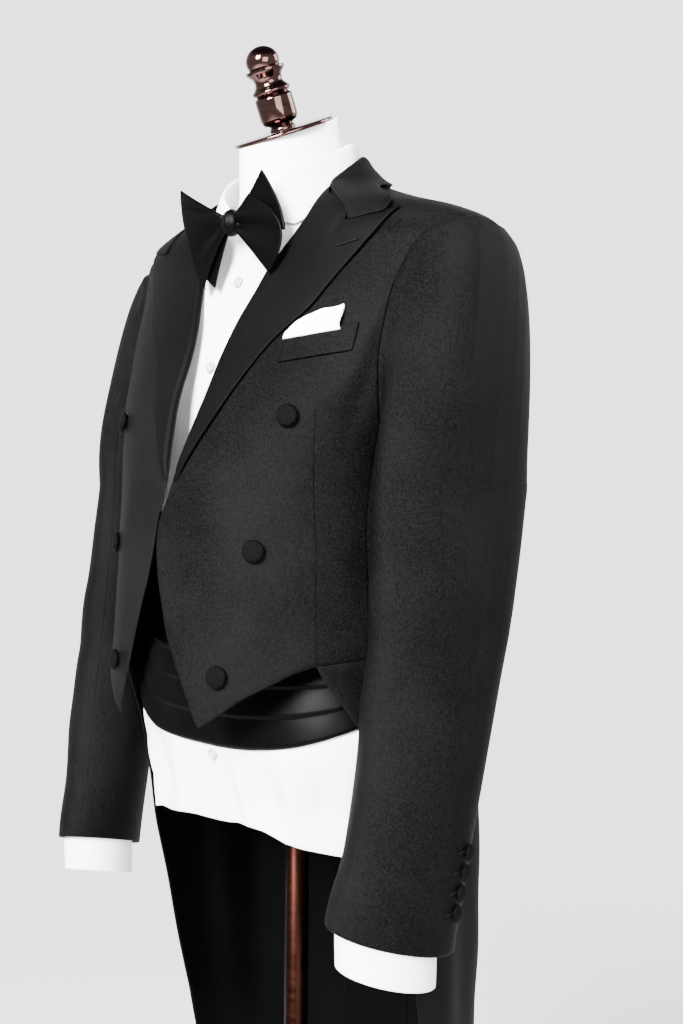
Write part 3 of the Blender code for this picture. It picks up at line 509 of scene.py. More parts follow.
def normals(rows, angle, level):
    """Outward normals: the cross product of the ways round and up."""
    turn, lift = 0.12, 1e-4
    round_way = on_section(rows, angle + turn, level) - on_section(rows, angle - turn, level)
    up_way = on_section(rows, angle, level + lift) - on_section(rows, angle, level - lift)
    return unit(np.cross(round_way, up_way))


def skin(rows, angle, level, out=0.0):
    """Points of a body's surface moved out along its normal."""
    return on_section(rows, angle, level) + normals(rows, angle, level) * np.asarray(out)[..., None]


def angle_at(rows, across, level):
    """Angle at which the front of a section reaches a distance from the middle: arcsin(share^(n/2))."""
    share = np.clip(np.asarray(across) / curve(rows, "half_width", level), -1.0, 1.0)
    return np.degrees(np.arcsin(np.sign(share) * np.abs(share) ** (curve(rows, "square", level) / 2.0)))


def folds(rows, angle, level, girth=COAT_GIRTH):
    """Sum of soft ridges: height times exp(-(distance to the segment / width)^2), fading at both ends."""
    out = np.zeros(np.broadcast(angle, level).shape)
    scale = math.radians(1.0) * girth
    for a1, l1, a2, l2, width, height in zip(*rows.values()):
        dx, dy = (a2 - a1) * scale, l2 - l1
        px, py = (angle - a1) * scale, level - l1
        along = np.clip((px * dx + py * dy) / (dx * dx + dy * dy), 0.0, 1.0)
        distance = np.hypot(px - along * dx, py - along * dy)
        out += height * np.exp(-(distance / width) ** 2) * (0.35 + 0.65 * np.sin(math.pi * along))
    return out


def mirrored(grid, side):
    """The grid on the left; its mirror image, with the columns turned round, on the right."""
    return grid if side > 0 else (grid * np.array([-1.0, 1.0, 1.0]))[:, ::-1]


def grid_normals(grid, closed=False):
    """Normals of a grid whose rows run up and whose columns run round to the left of them."""
    if closed:
        round_way = np.roll(grid, -1, axis=1) - np.roll(grid, 1, axis=1)
    else:
        round_way = np.gradient(grid, axis=1)
    return unit(np.cross(round_way, np.gradient(grid, axis=0)))


def ring_quads(rows, columns):
    """Quads between rings of points, each ring closed on itself."""
    number = np.arange(rows * columns).reshape(rows, columns)
    wide = np.concatenate([number, number[:, :1]], axis=1)
    return np.stack([wide[:-1, :-1], wide[:-1, 1:], wide[1:, 1:], wide[1:, :-1]], -1).reshape(-1, 4)


# Pieces

def in_scene(name, data):
    """An object of the data, linked into the scene."""
    made = bpy.data.objects.new(name, data)
    bpy.context.scene.collection.objects.link(made)
    return made


def mesh_of(name, points, faces):
    """A mesh from points and faces."""
    mesh = bpy.data.meshes.new(name)
    mesh.from_pydata(points.tolist(), [], faces)
    mesh.update()
    return mesh


def weld(mesh):
    """Welds the joins and drops loose points."""
    work = bmesh.new()
    work.from_mesh(mesh)
    bmesh.ops.remove_doubles(work, verts=work.verts, dist=1e-6)
    bmesh.ops.delete(work, geom=[p for p in work.verts if not p.link_faces], context="VERTS")
    work.to_mesh(mesh)
    work.free()


def mesh_piece(name, points, quads, uvs, finishes, faces_finish=None):
    """A mesh object from arrays of points, quads and texture coordinates."""
    mesh = bpy.data.meshes.new(name)
    quads = np.asarray(quads, np.int32)
    mesh.vertices.add(len(points))
    mesh.vertices.foreach_set("co", np.asarray(points, np.float32).ravel())
    mesh.loops.add(quads.size)
    mesh.loops.foreach_set("vertex_index", quads.ravel())
    mesh.polygons.add(len(quads))
    mesh.polygons.foreach_set("loop_start", np.arange(0, quads.size, 4, dtype=np.int32))
    layer = mesh.uv_layers.new(name="cloth")
    layer.data.foreach_set("uv", np.asarray(uvs, np.float32)[quads.ravel()].ravel())
    for finish in finishes:
        mesh.materials.append(finish)
    if faces_finish is not None:
        mesh.polygons.foreach_set("material_index", np.asarray(faces_finish, np.int32))
    mesh.update(calc_edges=True)
    mesh.validate()
    mesh.shade_smooth()
    return in_scene(name, mesh)


def declare(piece, slot, *nodes):
    """The piece rides on the body and stands in for its CAD nodes. The slot is not used."""
    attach(piece, "root")
    if nodes:
        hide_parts(*nodes)


def cloth(node_names, outer, thick, finish, slot, name=None, lining=None, closed=False):
    """A sheet of cloth with round edges, in place of one or more CAD nodes.

    The inner grid is the outer one moved in by the thickness along its normals. Between them each border gets one
    more row, halfway in and half a thickness further out, which rounds the edge.
    """
    name = name or f"{node_names}_cloth"
    rows, columns = outer.shape[:2]
    inner = outer - grid_normals(outer, closed) * thick
    steps_round = np.linalg.norm(np.diff(outer, axis=1), axis=2)
    steps_up = np.linalg.norm(np.diff(outer, axis=0), axis=2)
    u = np.concatenate([np.zeros((rows, 1)), np.cumsum(steps_round, axis=1)], axis=1)
    u -= u[:, columns // 2][:, None]
    v = np.concatenate([np.zeros((1, columns)), np.cumsum(steps_up, axis=0)], axis=0)
    flat_outer, flat_inner, flat_uv = outer.reshape(-1, 3), inner.reshape(-1, 3), np.stack([u, v], -1).reshape(-1, 2)
    points, uvs = [flat_outer, flat_inner], [flat_uv] * 2
    back = rows * columns
    number = np.arange(back).reshape(rows, columns)
    if closed:
        number = np.concatenate([number, number[:, :1]], axis=1)
    a, b, c, d = number[:-1, :-1], number[:-1, 1:], number[1:, 1:], number[1:, :-1]
    front = np.stack([a, b, c, d], -1).reshape(-1, 4)
    quads = [front, front[:, ::-1] + back]
    kinds = [np.zeros(len(front)), np.full(len(front), 1 if lining else 0)]
    borders = [(number[0], outer[0] - outer[1]), (number[-1][::-1], (outer[-1] - outer[-2])[::-1])]
    if not closed:
        borders += [(number[:, -1], outer[:, -1] - outer[:, -2]),
                    (number[::-1, 0], (outer[:, 0] - outer[:, 1])[::-1])]
    start = 2 * back
    for place, (border, away) in enumerate(borders):
        if closed:
            away = np.concatenate([away[-1:], away] if place else [away, away[:1]])
        rim = (flat_outer[border] + flat_inner[border]) / 2 + unit(away) * thick / 2
        ids = np.arange(start, start + len(border))
        if closed:
            ids[-1] = ids[0]
            if place:
                rim[0] = rim[-1]
        points.append(rim)
        uvs.append(flat_uv[border])
        start += len(border)
        for first, second in ((border, ids), (ids, border + back)):
            quads.append(np.stack([first[1:], first[:-1], second[:-1], second[1:]], -1))
            kinds.append(np.zeros(len(border) - 1))
    piece = mesh_piece(name, np.concatenate(points), np.concatenate(quads), np.concatenate(uvs),
                       [finish, lining] if lining else [finish], np.concatenate(kinds))
    weld(piece.data)
    declare(piece, slot, *node_names.split())


def solid(name, mesh, finish, slot, *nodes):
    """Puts a finished mesh in the scene as a hard piece."""
    mesh.materials.clear()
    mesh.materials.append(finish)
    mesh.shade_smooth()
    declare(in_scene(name, mesh), slot, *nodes)


def turned(name, node_name, profile, steps, finish, slot, place=(0, 0, 0), axis=(0, 0, 1), ripple=None):
    """Surface of revolution: point = (r cos t, r sin t, z) for a profile of (radius, height) from top to bottom.

    A piece covered in cloth has a ripple, which moves the points, and texture coordinates.
    """
    r, z = np.array(profile, float).T
    t = np.linspace(0.0, 2 * math.pi, steps, endpoint=False)
    grid = np.stack([r[:, None] * np.cos(t), r[:, None] * np.sin(t), np.repeat(z[:, None], steps, 1)], -1)
    if ripple:
        grid = ripple(grid, t)
    turn = Vector(axis).to_track_quat("Z", "Y").to_matrix()
    points = grid.reshape(-1, 3) @ np.array(turn).T + np.array(place)
    mesh = mesh_of(name, points, ring_quads(len(r), steps)[:, ::-1].tolist())
    weld(mesh)
    mesh.update()
    mesh.set_sharp_from_angle(angle=math.radians(50))
    if ripple:
        mesh.uv_layers.new(name="cloth")
    solid(name, mesh, finish, slot, node_name)


def stitches(name, path, out_way, size, finish, slot):
    """Joined mesh of thread stitches along a path: each is a stretched octahedron on the path's own frame."""
    length, radius, spacing = size
    steps = np.linalg.norm(np.diff(path, axis=0), axis=1)
    run = np.concatenate([[0.0], np.cumsum(steps)])
    at = np.arange(spacing / 2, run[-1], spacing)
    centre = np.stack([np.interp(at, run, path[:, k]) for k in range(3)], -1)
    ahead = unit(np.stack([np.interp(at, run, np.gradient(path[:, k])) for k in range(3)], -1))
    up = unit(np.stack([np.interp(at, run, out_way[:, k]) for k in range(3)], -1))
    side = unit(np.cross(up, ahead))
    up = np.cross(ahead, side)
    corners = [ahead * length / 2, side * radius, up * radius, -side * radius, -up * radius, -ahead * length / 2]
    points = np.stack([centre + c for c in corners], 1).reshape(-1, 3)
    shape = np.array([[0, 1, 2], [0, 2, 3], [0, 3, 4], [0, 4, 1], [5, 2, 1], [5, 3, 2], [5, 4, 3], [5, 1, 4]])
    faces = (shape[None] + 6 * np.arange(len(at))[:, None, None]).reshape(-1, 3)
    solid(name, mesh_of(name, points, faces.tolist()), finish, slot)


def bead(name, path, radius, finish, slot):
    """A fine cord along a path: circles of points on the path's own frame."""
    sides = 8
    ahead = unit(np.gradient(path, axis=0))
    side = unit(np.cross(ahead, np.array([0.21, 0.13, 0.97])))
    up = np.cross(side, ahead)
    t = np.linspace(0.0, 2 * math.pi, sides, endpoint=False)
    ring = np.cos(t)[:, None, None] * side + np.sin(t)[:, None, None] * up
    grid = (path[None] + ring * radius).transpose(1, 0, 2)
    last = (len(path) - 1) * sides
    caps = [list(range(sides))[::-1], list(range(last, last + sides))]
    solid(name, mesh_of(name, grid.reshape(-1, 3), ring_quads(len(path), sides).tolist() + caps), finish, slot)


# Materials

# Woven cloth: heights of the two sets of threads, shares of slow mottling and fine grain in the tone, and its range.
WARP_HEIGHT, WEFT_HEIGHT, MOTTLE_SHARE, GRAIN_SHARE, TONE_RANGE = 0.3, 0.2, 0.35, 0.65, (0.38, 0.62)
WEAVE_BUMP, SHEEN_ROUGHNESS, WIPE_SCALE, CLOUD_SCALE = 0.6, 0.45, (40.0, 40.0, 220.0), 260.0


def feed(made, inputs):
    """Sets inputs of a node to values, or links them to other nodes' outputs."""
    for socket, value in inputs.items():
        if isinstance(value, bpy.types.NodeSocket):
            made.id_data.links.new(value, made.inputs[socket])
        else:
            made.inputs[socket].default_value = value
    return made


def node(tree, kind, inputs=None, **properties):
    """A new shader node with its properties set and its inputs fed."""
    made = tree.nodes.new(kind)
    for name, value in properties.items():
        setattr(made, name, value)
    return feed(made, inputs or {})


def maths(tree, operation, first, second=0.5):
    """One Math node; each operand is a socket or a number."""
    return node(tree, "ShaderNodeMath", {0: first, 1: second}, operation=operation).outputs[0]


def ramp(tree, value, source=(0.0, 1.0), target=(0.0, 1.0), way="LINEAR"):
    """The value carried from one pair of ends to another."""
    ends = dict(zip(("From Min", "From Max", "To Min", "To Max"), (*source, *target)))
    return node(tree, "ShaderNodeMapRange", {"Value": value, **ends}, interpolation_type=way).outputs[0]


def between(tree, share, dark, light):
    """Colour that goes from dark to light with the share."""
    colours = {0: share, 6: (*dark, 1), 7: (*light, 1)}
    return node(tree, "ShaderNodeMix", colours, data_type="RGBA").outputs[2]


def noise(tree, place, scale, detail=2.0):
    """Noise from 0 to 1 over the given coordinates."""
    return node(tree, "ShaderNodeTexNoise", {"Vector": place, "Scale": scale, "Detail": detail}).outputs["Fac"]


def object_place(tree):
    """Object coordinates."""
    return node(tree, "ShaderNodeTexCoord").outputs["Object"]


def group_of(name, inputs, outputs):
    """An empty shader node group with named sockets."""
    group = bpy.data.node_groups.new(name, "ShaderNodeTree")
    for socket, kind, value in inputs:
        made = group.interface.new_socket(socket, in_out="INPUT", socket_type=kind)
        if value is not None:
            made.default_value = value
    for socket, kind in outputs:
        group.interface.new_socket(socket, in_out="OUTPUT", socket_type=kind)
    return group, group.nodes.new("NodeGroupInput"), group.nodes.new("NodeGroupOutput")


def weave_group():
    """Woven cloth: two crossed sets of threads, slanted into a twill, with uneven yarns and slow mottling."""
    inputs = (("Threads", "NodeSocketFloat", 1500.0), ("Slant", "NodeSocketFloat", 1.0),
              ("Grain", "NodeSocketFloat", 900.0), ("Mottle", "NodeSocketFloat", 14.0))
    outputs = (("Height", "NodeSocketFloat"), ("Tone", "NodeSocketFloat"))
    group, given, result = group_of("woven_cloth", inputs, outputs)
    uv = node(group, "ShaderNodeUVMap", uv_map="cloth")
    split = node(group, "ShaderNodeSeparateXYZ", {0: uv.outputs[0]})
    across, along = (maths(group, "MULTIPLY", split.outputs[i], given.outputs["Threads"]) for i in (0, 1))
    leaning = maths(group, "ADD", across, maths(group, "MULTIPLY", along, given.outputs["Slant"]))
    warp, weft = (maths(group, "SINE", maths(group, "MULTIPLY", way, 2 * math.pi)) for way in (leaning, along))
    threads = maths(group, "ADD", maths(group, "MULTIPLY", warp, WARP_HEIGHT),
                    maths(group, "MULTIPLY", weft, WEFT_HEIGHT))
    place = object_place(group)
    grain = noise(group, place, given.outputs["Grain"])
    mottle = noise(group, place, given.outputs["Mottle"], 4.0)
    tone = maths(group, "ADD", maths(group, "MULTIPLY", mottle, MOTTLE_SHARE),
                 maths(group, "MULTIPLY", grain, GRAIN_SHARE))
    feed(result, {"Height": maths(group, "ADD", threads, grain), "Tone": tone})
    return group


WEAVE = weave_group()


def shader_of(name):
    """A new material with its node tree and its shader."""
    made = bpy.data.materials.new(name)
    made.use_nodes = True
    return made, made.node_tree, made.node_tree.nodes["Principled BSDF"]


def cloth_material(name, dark, light, roughness, threads, slant, depth, sheen=0.0, grain=900.0, spread=0.10,
                   specular=0.5):
    """Cloth: tone between a dark and a light colour, roughness that follows it, and the weave as bump."""
    made, tree, shader = shader_of(name)
    woven = node(tree, "ShaderNodeGroup", node_tree=WEAVE)
    feed(woven, {"Threads": threads, "Slant": slant, "Grain": grain})
    tone = ramp(tree, woven.outputs["Tone"], TONE_RANGE)
    relief = {"Strength": WEAVE_BUMP, "Distance": depth, "Height": woven.outputs["Height"]}
    bump = node(tree, "ShaderNodeBump", relief)
    feed(shader, {
        "Base Color": between(tree, tone, dark, light),
        "Roughness": ramp(tree, tone, target=(roughness - spread / 2, roughness + spread / 2)),
        "Normal": bump.outputs[0], "Sheen Weight": sheen, "Sheen Roughness": SHEEN_ROUGHNESS,
        "Specular IOR Level": specular})
    return made


def metal_material(name, dark, light, roughness):
    """Polished plating with faint wipe marks: noise stretched round the piece turns the tone and the roughness."""
    made, tree, shader = shader_of(name)
    stretch = node(tree, "ShaderNodeMapping", {"Vector": object_place(tree), "Scale": WIPE_SCALE})
    wiped = noise(tree, stretch.outputs[0], 1.0, 3.0)
    feed(shader, {
        "Base Color": between(tree, wiped, dark, light),
        "Roughness": ramp(tree, wiped, target=(roughness * 0.7, roughness * 1.4)), "Metallic": 1.0})
    return made


def pearl_material(name, dark, light, roughness):
    """Shell-like plastic: pale with slow clouds."""
    made, tree, shader = shader_of(name)
    clouds = noise(tree, object_place(tree), CLOUD_SCALE)
    feed(shader, {"Base Color": between(tree, clouds, dark, light), "Roughness": roughness})
    return made


WOOL = cloth_material("wool", (0.0001, 0.0001, 0.0001), (0.0020, 0.0021, 0.0023), 0.62, 1400, 1.0, 0.00030,
                      grain=560.0, specular=0.03)
FAILLE = cloth_material("faille", (0.0003, 0.0003, 0.0003), (0.0010, 0.0011, 0.0012), 0.55, 1100, 0.0, 0.00020,
                        spread=0.08, specular=0.022)
SATIN = cloth_material("satin", (0.0003, 0.0003, 0.0003), (0.0006, 0.0006, 0.0007), 0.38, 2600, 0.3, 0.00004,
                       spread=0.08, specular=0.022)
# The lining's near black is the lining's own colour; on the dart seams the same finish is painted shade.
LINING_AND_SEAM_SHADE = cloth_material("satin_lining_and_seam_shade", (0.0002, 0.0002, 0.0002), (0.0004, 0.0004, 0.0004), 0.40, 2600, 0.3,
                        0.00004, spread=0.08, specular=0.015)
POPLIN = cloth_material("poplin", (0.68, 0.69, 0.70), (0.75, 0.76, 0.77), 0.75, 1800, 0.0, 0.00008, 0.05)
LINEN = cloth_material("linen", (0.86, 0.87, 0.87), (0.91, 0.92, 0.92), 0.80, 900, 0.0, 0.00014, 0.08)
COVER = cloth_material("form_cover", (0.84, 0.84, 0.84), (0.90, 0.90, 0.90), 0.70, 1000, 0.0, 0.00006, 0.05)
METAL = metal_material("rose_metal", (0.055, 0.027, 0.024), (0.110, 0.062, 0.055), 0.09)
COPPER = metal_material("copper_pole", (0.008, 0.0026, 0.0018), (0.013, 0.0046, 0.0031), 0.34)
PEARL = pearl_material("pearl", (0.26, 0.26, 0.26), (0.38, 0.38, 0.37), 0.22)
THREAD = cloth_material("black_thread", (0.0015, 0.0015, 0.0017), (0.0030, 0.0030, 0.0033), 0.5, 3000, 1.0,
                        0.00004, spread=0.08, specular=0.03)
WHITE_THREAD = cloth_material("white_thread", (0.70, 0.71, 0.72), (0.76, 0.77, 0.78), 0.6, 3000, 1.0, 0.00004)


# Dress form and stand

def dress_form():
    """Limbless torso: rings of the form's sections, each end closed by rings that shrink to its middle."""
    angle, level = np.meshgrid(np.linspace(0.0, 360.0, 120, endpoint=False), np.linspace(FORM_LOW, FORM_HIGH, 110))
    grid = on_section(FORM, angle, level)
    bottom, top = (np.array([ring.mean(axis=0) + (ring - ring.mean(axis=0)) * share for share in END_RINGS])
                   for ring in (grid[0], grid[-1]))
    grid = np.concatenate([bottom[::-1], grid, top])
    around = np.radians(np.broadcast_to(angle[:1], grid.shape[:2])) * COVER_GIRTH
    uvs = np.stack([around, grid[..., 2]], -1).reshape(-1, 2)
    piece = mesh_piece("dress_form_cover", grid.reshape(-1, 3), ring_quads(*grid.shape[:2]), uvs, [COVER])
    piece.data.set_sharp_from_angle(angle=math.radians(50))
    declare(piece, "form_cover", "torso_form")


def stand():
    """Base, pole, neck plate and finial as turned pieces with rounded edges."""
    turned("weighted_base", "stand_base", BASE_PROFILE, 128, METAL, "rose_metal")
    inset = POLE_RADIUS - POLE_ROUND
    pole = [(0, POLE_TOP), (inset, POLE_TOP), (POLE_RADIUS, POLE_TOP - POLE_ROUND),
            (POLE_RADIUS, POLE_BOTTOM + POLE_ROUND), (inset, POLE_BOTTOM), (0, POLE_BOTTOM)]
    turned("round_pole", "pole", pole, 64, COPPER, "rose_metal")
    lean = Vector((0.0, -math.sin(NECK_TILT), math.cos(NECK_TILT)))
    plate = Vector(NECK_TOP) + lean * SEAM_GAP
    turned("neck_cap", "neck_plate", PLATE_PROFILE, 96, METAL, "rose_metal", plate, lean)
    ball = [(BALL_RADIUS * math.sin(t), BALL_LEVEL + BALL_HALF * math.cos(t)) for t in np.linspace(0.0, BALL_END, 16)]
    turned("neck_finial", "finial", ball + FINIAL_PROFILE, 72, METAL, "rose_metal", plate + lean * FINIAL_FOOT, lean)


# Shirt, bow and cummerbund

def nape_share(angle):
    """0 at the throat and 1 at the nape, rising fast at first."""
    return (0.5 - 0.5 * np.cos(np.radians(angle))) ** 0.6


def arm_opening(level):
    """Half the shirt's armhole in degrees: the root of a sine arch between its lowest and highest level."""
    arch = np.sin(math.pi * (level - ARMHOLE_LOW) / ARMHOLE_HEIGHT)
    return ARMHOLE_HALF * np.sqrt(np.clip(arch, 0.0, 1.0)) * (level > ARMHOLE_LOW)


def shirt_grid(level, left, right, columns, out, side=1):
    """A shirt panel: form sections up to the chest, then carried over to the neckband's lower edge."""
    share = sideways(columns)
    angle = left * (1 - share) + right * share
    hem = np.interp(np.clip(side * from_front(angle), -90.0, 90.0), SHIRT_DROP["angle"], SHIRT_DROP["drop"])
    hem = hem * smooth((HEM_FADE_TOP - level) / HEM_FADE)
    lift = folds(SHIRT_FOLDS, np.abs(from_front(angle)), level, SHIRT_GIRTH)
    body = skin(FORM, angle, level + hem, out + np.maximum(lift, DEEPEST_FOLD))
    last = angle[-1]
    neck = skin(NECKBAND, last, THROAT_LEVEL + NAPE_RISE * nape_share(last) - SEAM_GAP, out - SHIRT_OUT - BAND_IN)
    top = YOKE_LEVEL + YOKE_RISE * nape_share(last)
    t = upwards(16)[1:]
    own = skin(FORM, last[None], CHEST_LEVEL + (top - CHEST_LEVEL)[None] * t, out)
    return np.concatenate([body, own + (neck - own) * t[..., None] ** 2])


def shirt():
    """Fronts, back, button stand, buttons, turned-down collar, cuffs and sleeve ends."""
    level = np.linspace(SHIRT_HEM, CHEST_LEVEL, SHIRT_ROWS)[:, None]
    inner, opening = angle_at(FORM, PLACKET_HALF, level), arm_opening(level)
    for side, name in SIDES:
        grid = shirt_grid(level, inner, 90.0 - opening, 60, SHIRT_OUT, side)
        cloth(f"shirt_front_{name}", mirrored(grid, side), SHIRTING, POPLIN, "poplin")
    grid = shirt_grid(level, 90.0 + opening, 270.0 - opening, 90, SHIRT_OUT)
    cloth("shirt_back", grid, SHIRTING, POPLIN, "poplin")
    stand_out, half = SHIRT_OUT + PLACKET_STEP, angle_at(FORM, PLACKET_HALF + PLACKET_LAP, level)
    grid = shirt_grid(level, -half, half, 12, stand_out)
    cloth("shirt_placket", grid, SHIRTING, POPLIN, "poplin", name="button_stand")
    level = np.linspace(SHIRT_HEM + 0.004, STAND_TOP, 260)
    for side, name in SIDES[::-1]:
        angle = side * angle_at(FORM, PLACKET_HALF - STITCH_INSET, level)
        stitches(f"stand_stitches_{name[0]}", skin(FORM, angle, level, stand_out + STITCH_OUT),
                 normals(FORM, angle, level), SHIRT_STITCH, WHITE_THREAD, "poplin")
    for i, (angle, level) in enumerate(SHIRT_BUTTONS):
        shirt_button(i + 1, angle, level, stand_out + BUTTON_OUT)
    shirt_collar()
    for side, name in SIDES:
        for kind, low, high, bulge in CUFF_PARTS:
            cloth(f"shirt_{kind}_{name}", wrist(mirrored(cuff_grid(low, high, bulge), side), side), SHIRTING, POPLIN,
                  "poplin", closed=True)
        seam = cuff_grid(CUFF_STITCH_LEVEL, CUFF_STITCH_LEVEL + 0.0005, CUFF_STITCH_OUT)
        ring = wrist(mirrored(seam, side), side)[0]
        ring = np.concatenate([ring, ring[:1]])
        stitches(f"cuff_stitches_{name}", ring, unit((ring - ring.mean(axis=0)) * np.array([1, 1, 0])), SHIRT_STITCH,
                 WHITE_THREAD, "poplin")


def shirt_button(number, angle, level, out):
    """A turned disc with a raised rim, and two crossed threads that sink towards their ends."""
    place, way = skin(FORM, angle, level, out), normals(FORM, angle, level)
    turned(f"clear_button_{number}", f"shirt_button_{number}", SHIRT_BUTTON_PROFILE, 40, PEARL, "pearl", place, way)
    flat = unit(np.cross(way, UPWARD))
    rise = np.cross(flat, way)
    run = np.linspace(-1.0, 1.0, 9)[:, None]
    for letter, lean in (("a", -1), ("b", 1)):
        path = place + way * (0.0019 - 0.0008 * run ** 4) + 0.0015 * run * (flat + lean * rise)
        bead(f"button_thread_{number}_{letter}", path, BUTTON_THREAD, WHITE_THREAD, "poplin")


def cuff_grid(low, high, bulge):
    """Tube inside the sleeve's end: its ellipse, moved forward to the sleeve's front wall."""
    around = np.linspace(0.0, -2 * math.pi, 90, endpoint=False)
    rings = []
    for level in np.linspace(low, high, 24):
        own = max(level, SLEEVE_HEM)
        room = curve(SLEEVE, "depth", own) - CLOTH - CUFF_ROOM
        swell = bulge * math.sin(math.pi * (level - low) / (high - low))
        ring = sleeve_section(own, around, CUFF_DEPTH + swell, CUFF_WIDTH + swell) + sleeve_frame(own)[1] * room
        slant = CUFF_SLANT * cuff_slant(around) - CUFF_DROP
        ring[:, 2] = level + slant * smooth((CUFF_FADE_TOP - level) / CUFF_FADE)
        rings.append(ring)
    return np.array(rings)


def cuff_slant(around):
    """The sleeve's and the cuff's lower edges rise towards the front of the wrist."""
    return 0.0065 + 0.0135 * np.sin(around) - 0.0035 * np.cos(around)


def shirt_collar():
    """Band and leaf as one sheet turned over at the fold: out follows the turn, level follows band and leaf."""
    t = upwards(44)
    along = np.linspace(-1.0, 1.0, 150)[None]
    inward = 1.0 - np.abs(along)
    leaf = np.clip((t - 0.5) / 0.5, 0.0, 1.0)
    front = np.where(t < 0.5, BAND_FRONT + (FOLD_FRONT - BAND_FRONT) * t / 0.5,
                     FOLD_FRONT + (LEAF_FRONT - FOLD_FRONT) * leaf)
    angle = 180.0 + along * (180.0 - front)
    near = np.clip(inward / 0.3, 0.0, 1.0)
    fold = FOLD_LEVEL + FOLD_RISE * np.clip(inward / 0.5, 0.0, 1.0) ** 0.8
    edge = LEAF_EDGE + LEAF_EDGE_RISE * near
    low = THROAT_LEVEL + NAPE_RISE * nape_share(angle)
    level = np.where(t < 0.5, low + (fold - low) * t / 0.5, fold + (edge - fold) * leaf)
    out = np.interp(t, [0.0, 0.42, 0.5, 0.56, 1.0], [-BAND_IN, -0.0022, -0.0006, 0.0012, 0.0012])
    out = out + 0.0030 * leaf ** 2 + 0.0008 * np.sin(along * 31.0) * leaf * (1 - near)
    cloth("shirt_collar_band shirt_collar_leaf", skin(NECKBAND, angle, level, out * np.ones_like(angle)),
          COLLAR_SHIRTING, POPLIN, "poplin", name="shirt_collar_cloth")


def cummerbund():
    """Pleated band: out falls from each pleat's round lower fold to the next, with small sags between."""
    angle = np.linspace(0.0, 360.0, 200, endpoint=False)[None]
    turn = np.radians(angle)
    share = upwards(PLEATS * 16 + 1)
    front = 0.5 + 0.5 * np.cos(turn)
    lean = np.interp(from_front(angle), SASH_LEAN["angle"], SASH_LEAN["rise"])
    low, high = SASH_LOW - SASH_DROP * front ** 2 + lean, SASH_HIGH + SASH_RISE * front
    within = (share * PLEATS) % 1.0
    within[-1] = 1.0
    step = PLEAT_STEP * (1 - within) ** 1.3 * smooth(within / 0.10)
    sag = 0.0003 * np.sin(turn * 9.0 + share * 5.0) * np.sin(math.pi * within)
    level = low + (high - low) * share + 0.0012 * np.sin(turn * 5.0) * np.sin(math.pi * share)
    cloth("cummerbund", skin(FORM, angle * np.ones_like(share), level, SASH_OUT + step + sag), SASH_SATIN, SATIN,
          "satin", closed=True)


def bow_tie():
    """Two layers each side: ruled from the knot to a curved outer edge, rippled by gathers that die away."""
    across, up = np.meshgrid(np.linspace(0.0, 1.0, 56), np.linspace(-1.0, 1.0, 60))
    for name, side, depth, top_x, top_z, mid_x, mid_z, low_x, low_z in BOW_WINGS:
        end_x = mid_x + up * (top_x - low_x) / 2 + up ** 2 * ((top_x + low_x) / 2 - mid_x)
        end_z = mid_z + up * (top_z - low_z) / 2 + up ** 2 * ((top_z + low_z) / 2 - mid_z)
        x = (BOW_ROOT + side * KNOT_CENTRE[0]) * (1 - across) + end_x * across
        pinch = across ** 1.12
        z = (BOW_LEVEL + BOW_ROOT_HALF * 0.8 * up) * (1 - pinch) + end_z * pinch
        gathers = (0.0017 * np.cos(up * 5.2 + side) * np.exp(-across * 2.6)
                   + 0.0013 * np.cos(up * 3.1 + 0.7) * (1 - across))
        y = depth + BOW_CURVE * (x / BOW_REACH) ** 2 + gathers * smooth(across / 0.08)
        y = y + 0.0014 * np.exp(-((up + 0.15) / 0.22) ** 2) * across * (1 - across) * 3
        cloth(f"bow_{name}", mirrored(np.stack([x, y, z], -1), side), BOW_SATIN, SATIN, "satin")
    arc = np.linspace(0.0, math.pi, 40)

    def wrap(grid, turn):
        """Squashed ball with upright creases and a slight waist."""
        crease = 1 + 0.045 * np.cos(turn * 7.0)[None] * np.sin(arc)[:, None]
        scale = np.array(KNOT_HALVES) * 0.98
        return np.stack([grid[..., 0] * crease, grid[..., 1] * crease, grid[..., 2]], -1) * scale

    turned("bow_knot_wrap", "bow_knot", [(math.sin(a), math.cos(a)) for a in arc], 72, SATIN, "satin", KNOT_CENTRE,
           ripple=wrap)


# Coat

def front_grid(name):
    """A front: angle runs from the front edge to the side seam and armhole, level from the hem to the shoulder."""
    right = np.concatenate([np.linspace(WAIST, UNDERARM, 60), np.linspace(UNDERARM, SHOULDER_TIP, 60)[1:],
                            np.linspace(SHOULDER_TIP, NECKLINE, 24)[1:]])[:, None]
    rise = (right - WAIST) / (NECKLINE - WAIST)
    point = EDGE["level"][0]
    left = point + (NECKLINE - point) * rise
    start = angle_at(COAT, curve(EDGE, name, left), left)
    end = np.where(right < UNDERARM, SIDE_ANGLE, curve(ARMHOLE, "angle", right))
    end = np.where(right >= SHOULDER_TIP, SHOULDER_ANGLE, end)
    angle = start + (end - start) * sideways(80)
    across = on_section(COAT, angle[0], np.full(angle.shape[1], 1.02))[:, 0]
    hem = np.interp(across, HEM["across"], HEM["level"])[None]
    return angle, hem + (NECKLINE - hem) * rise


def coat_panel(part, side, name, angle, level, press, lining=None):
    """A panel of the coat: the surface of its body moved out by the press."""
    grid = mirrored(skin(COAT, angle, level, press), side)
    cloth(f"coat_{part}_{name}", grid, CLOTH, WOOL, "wool", lining=lining)


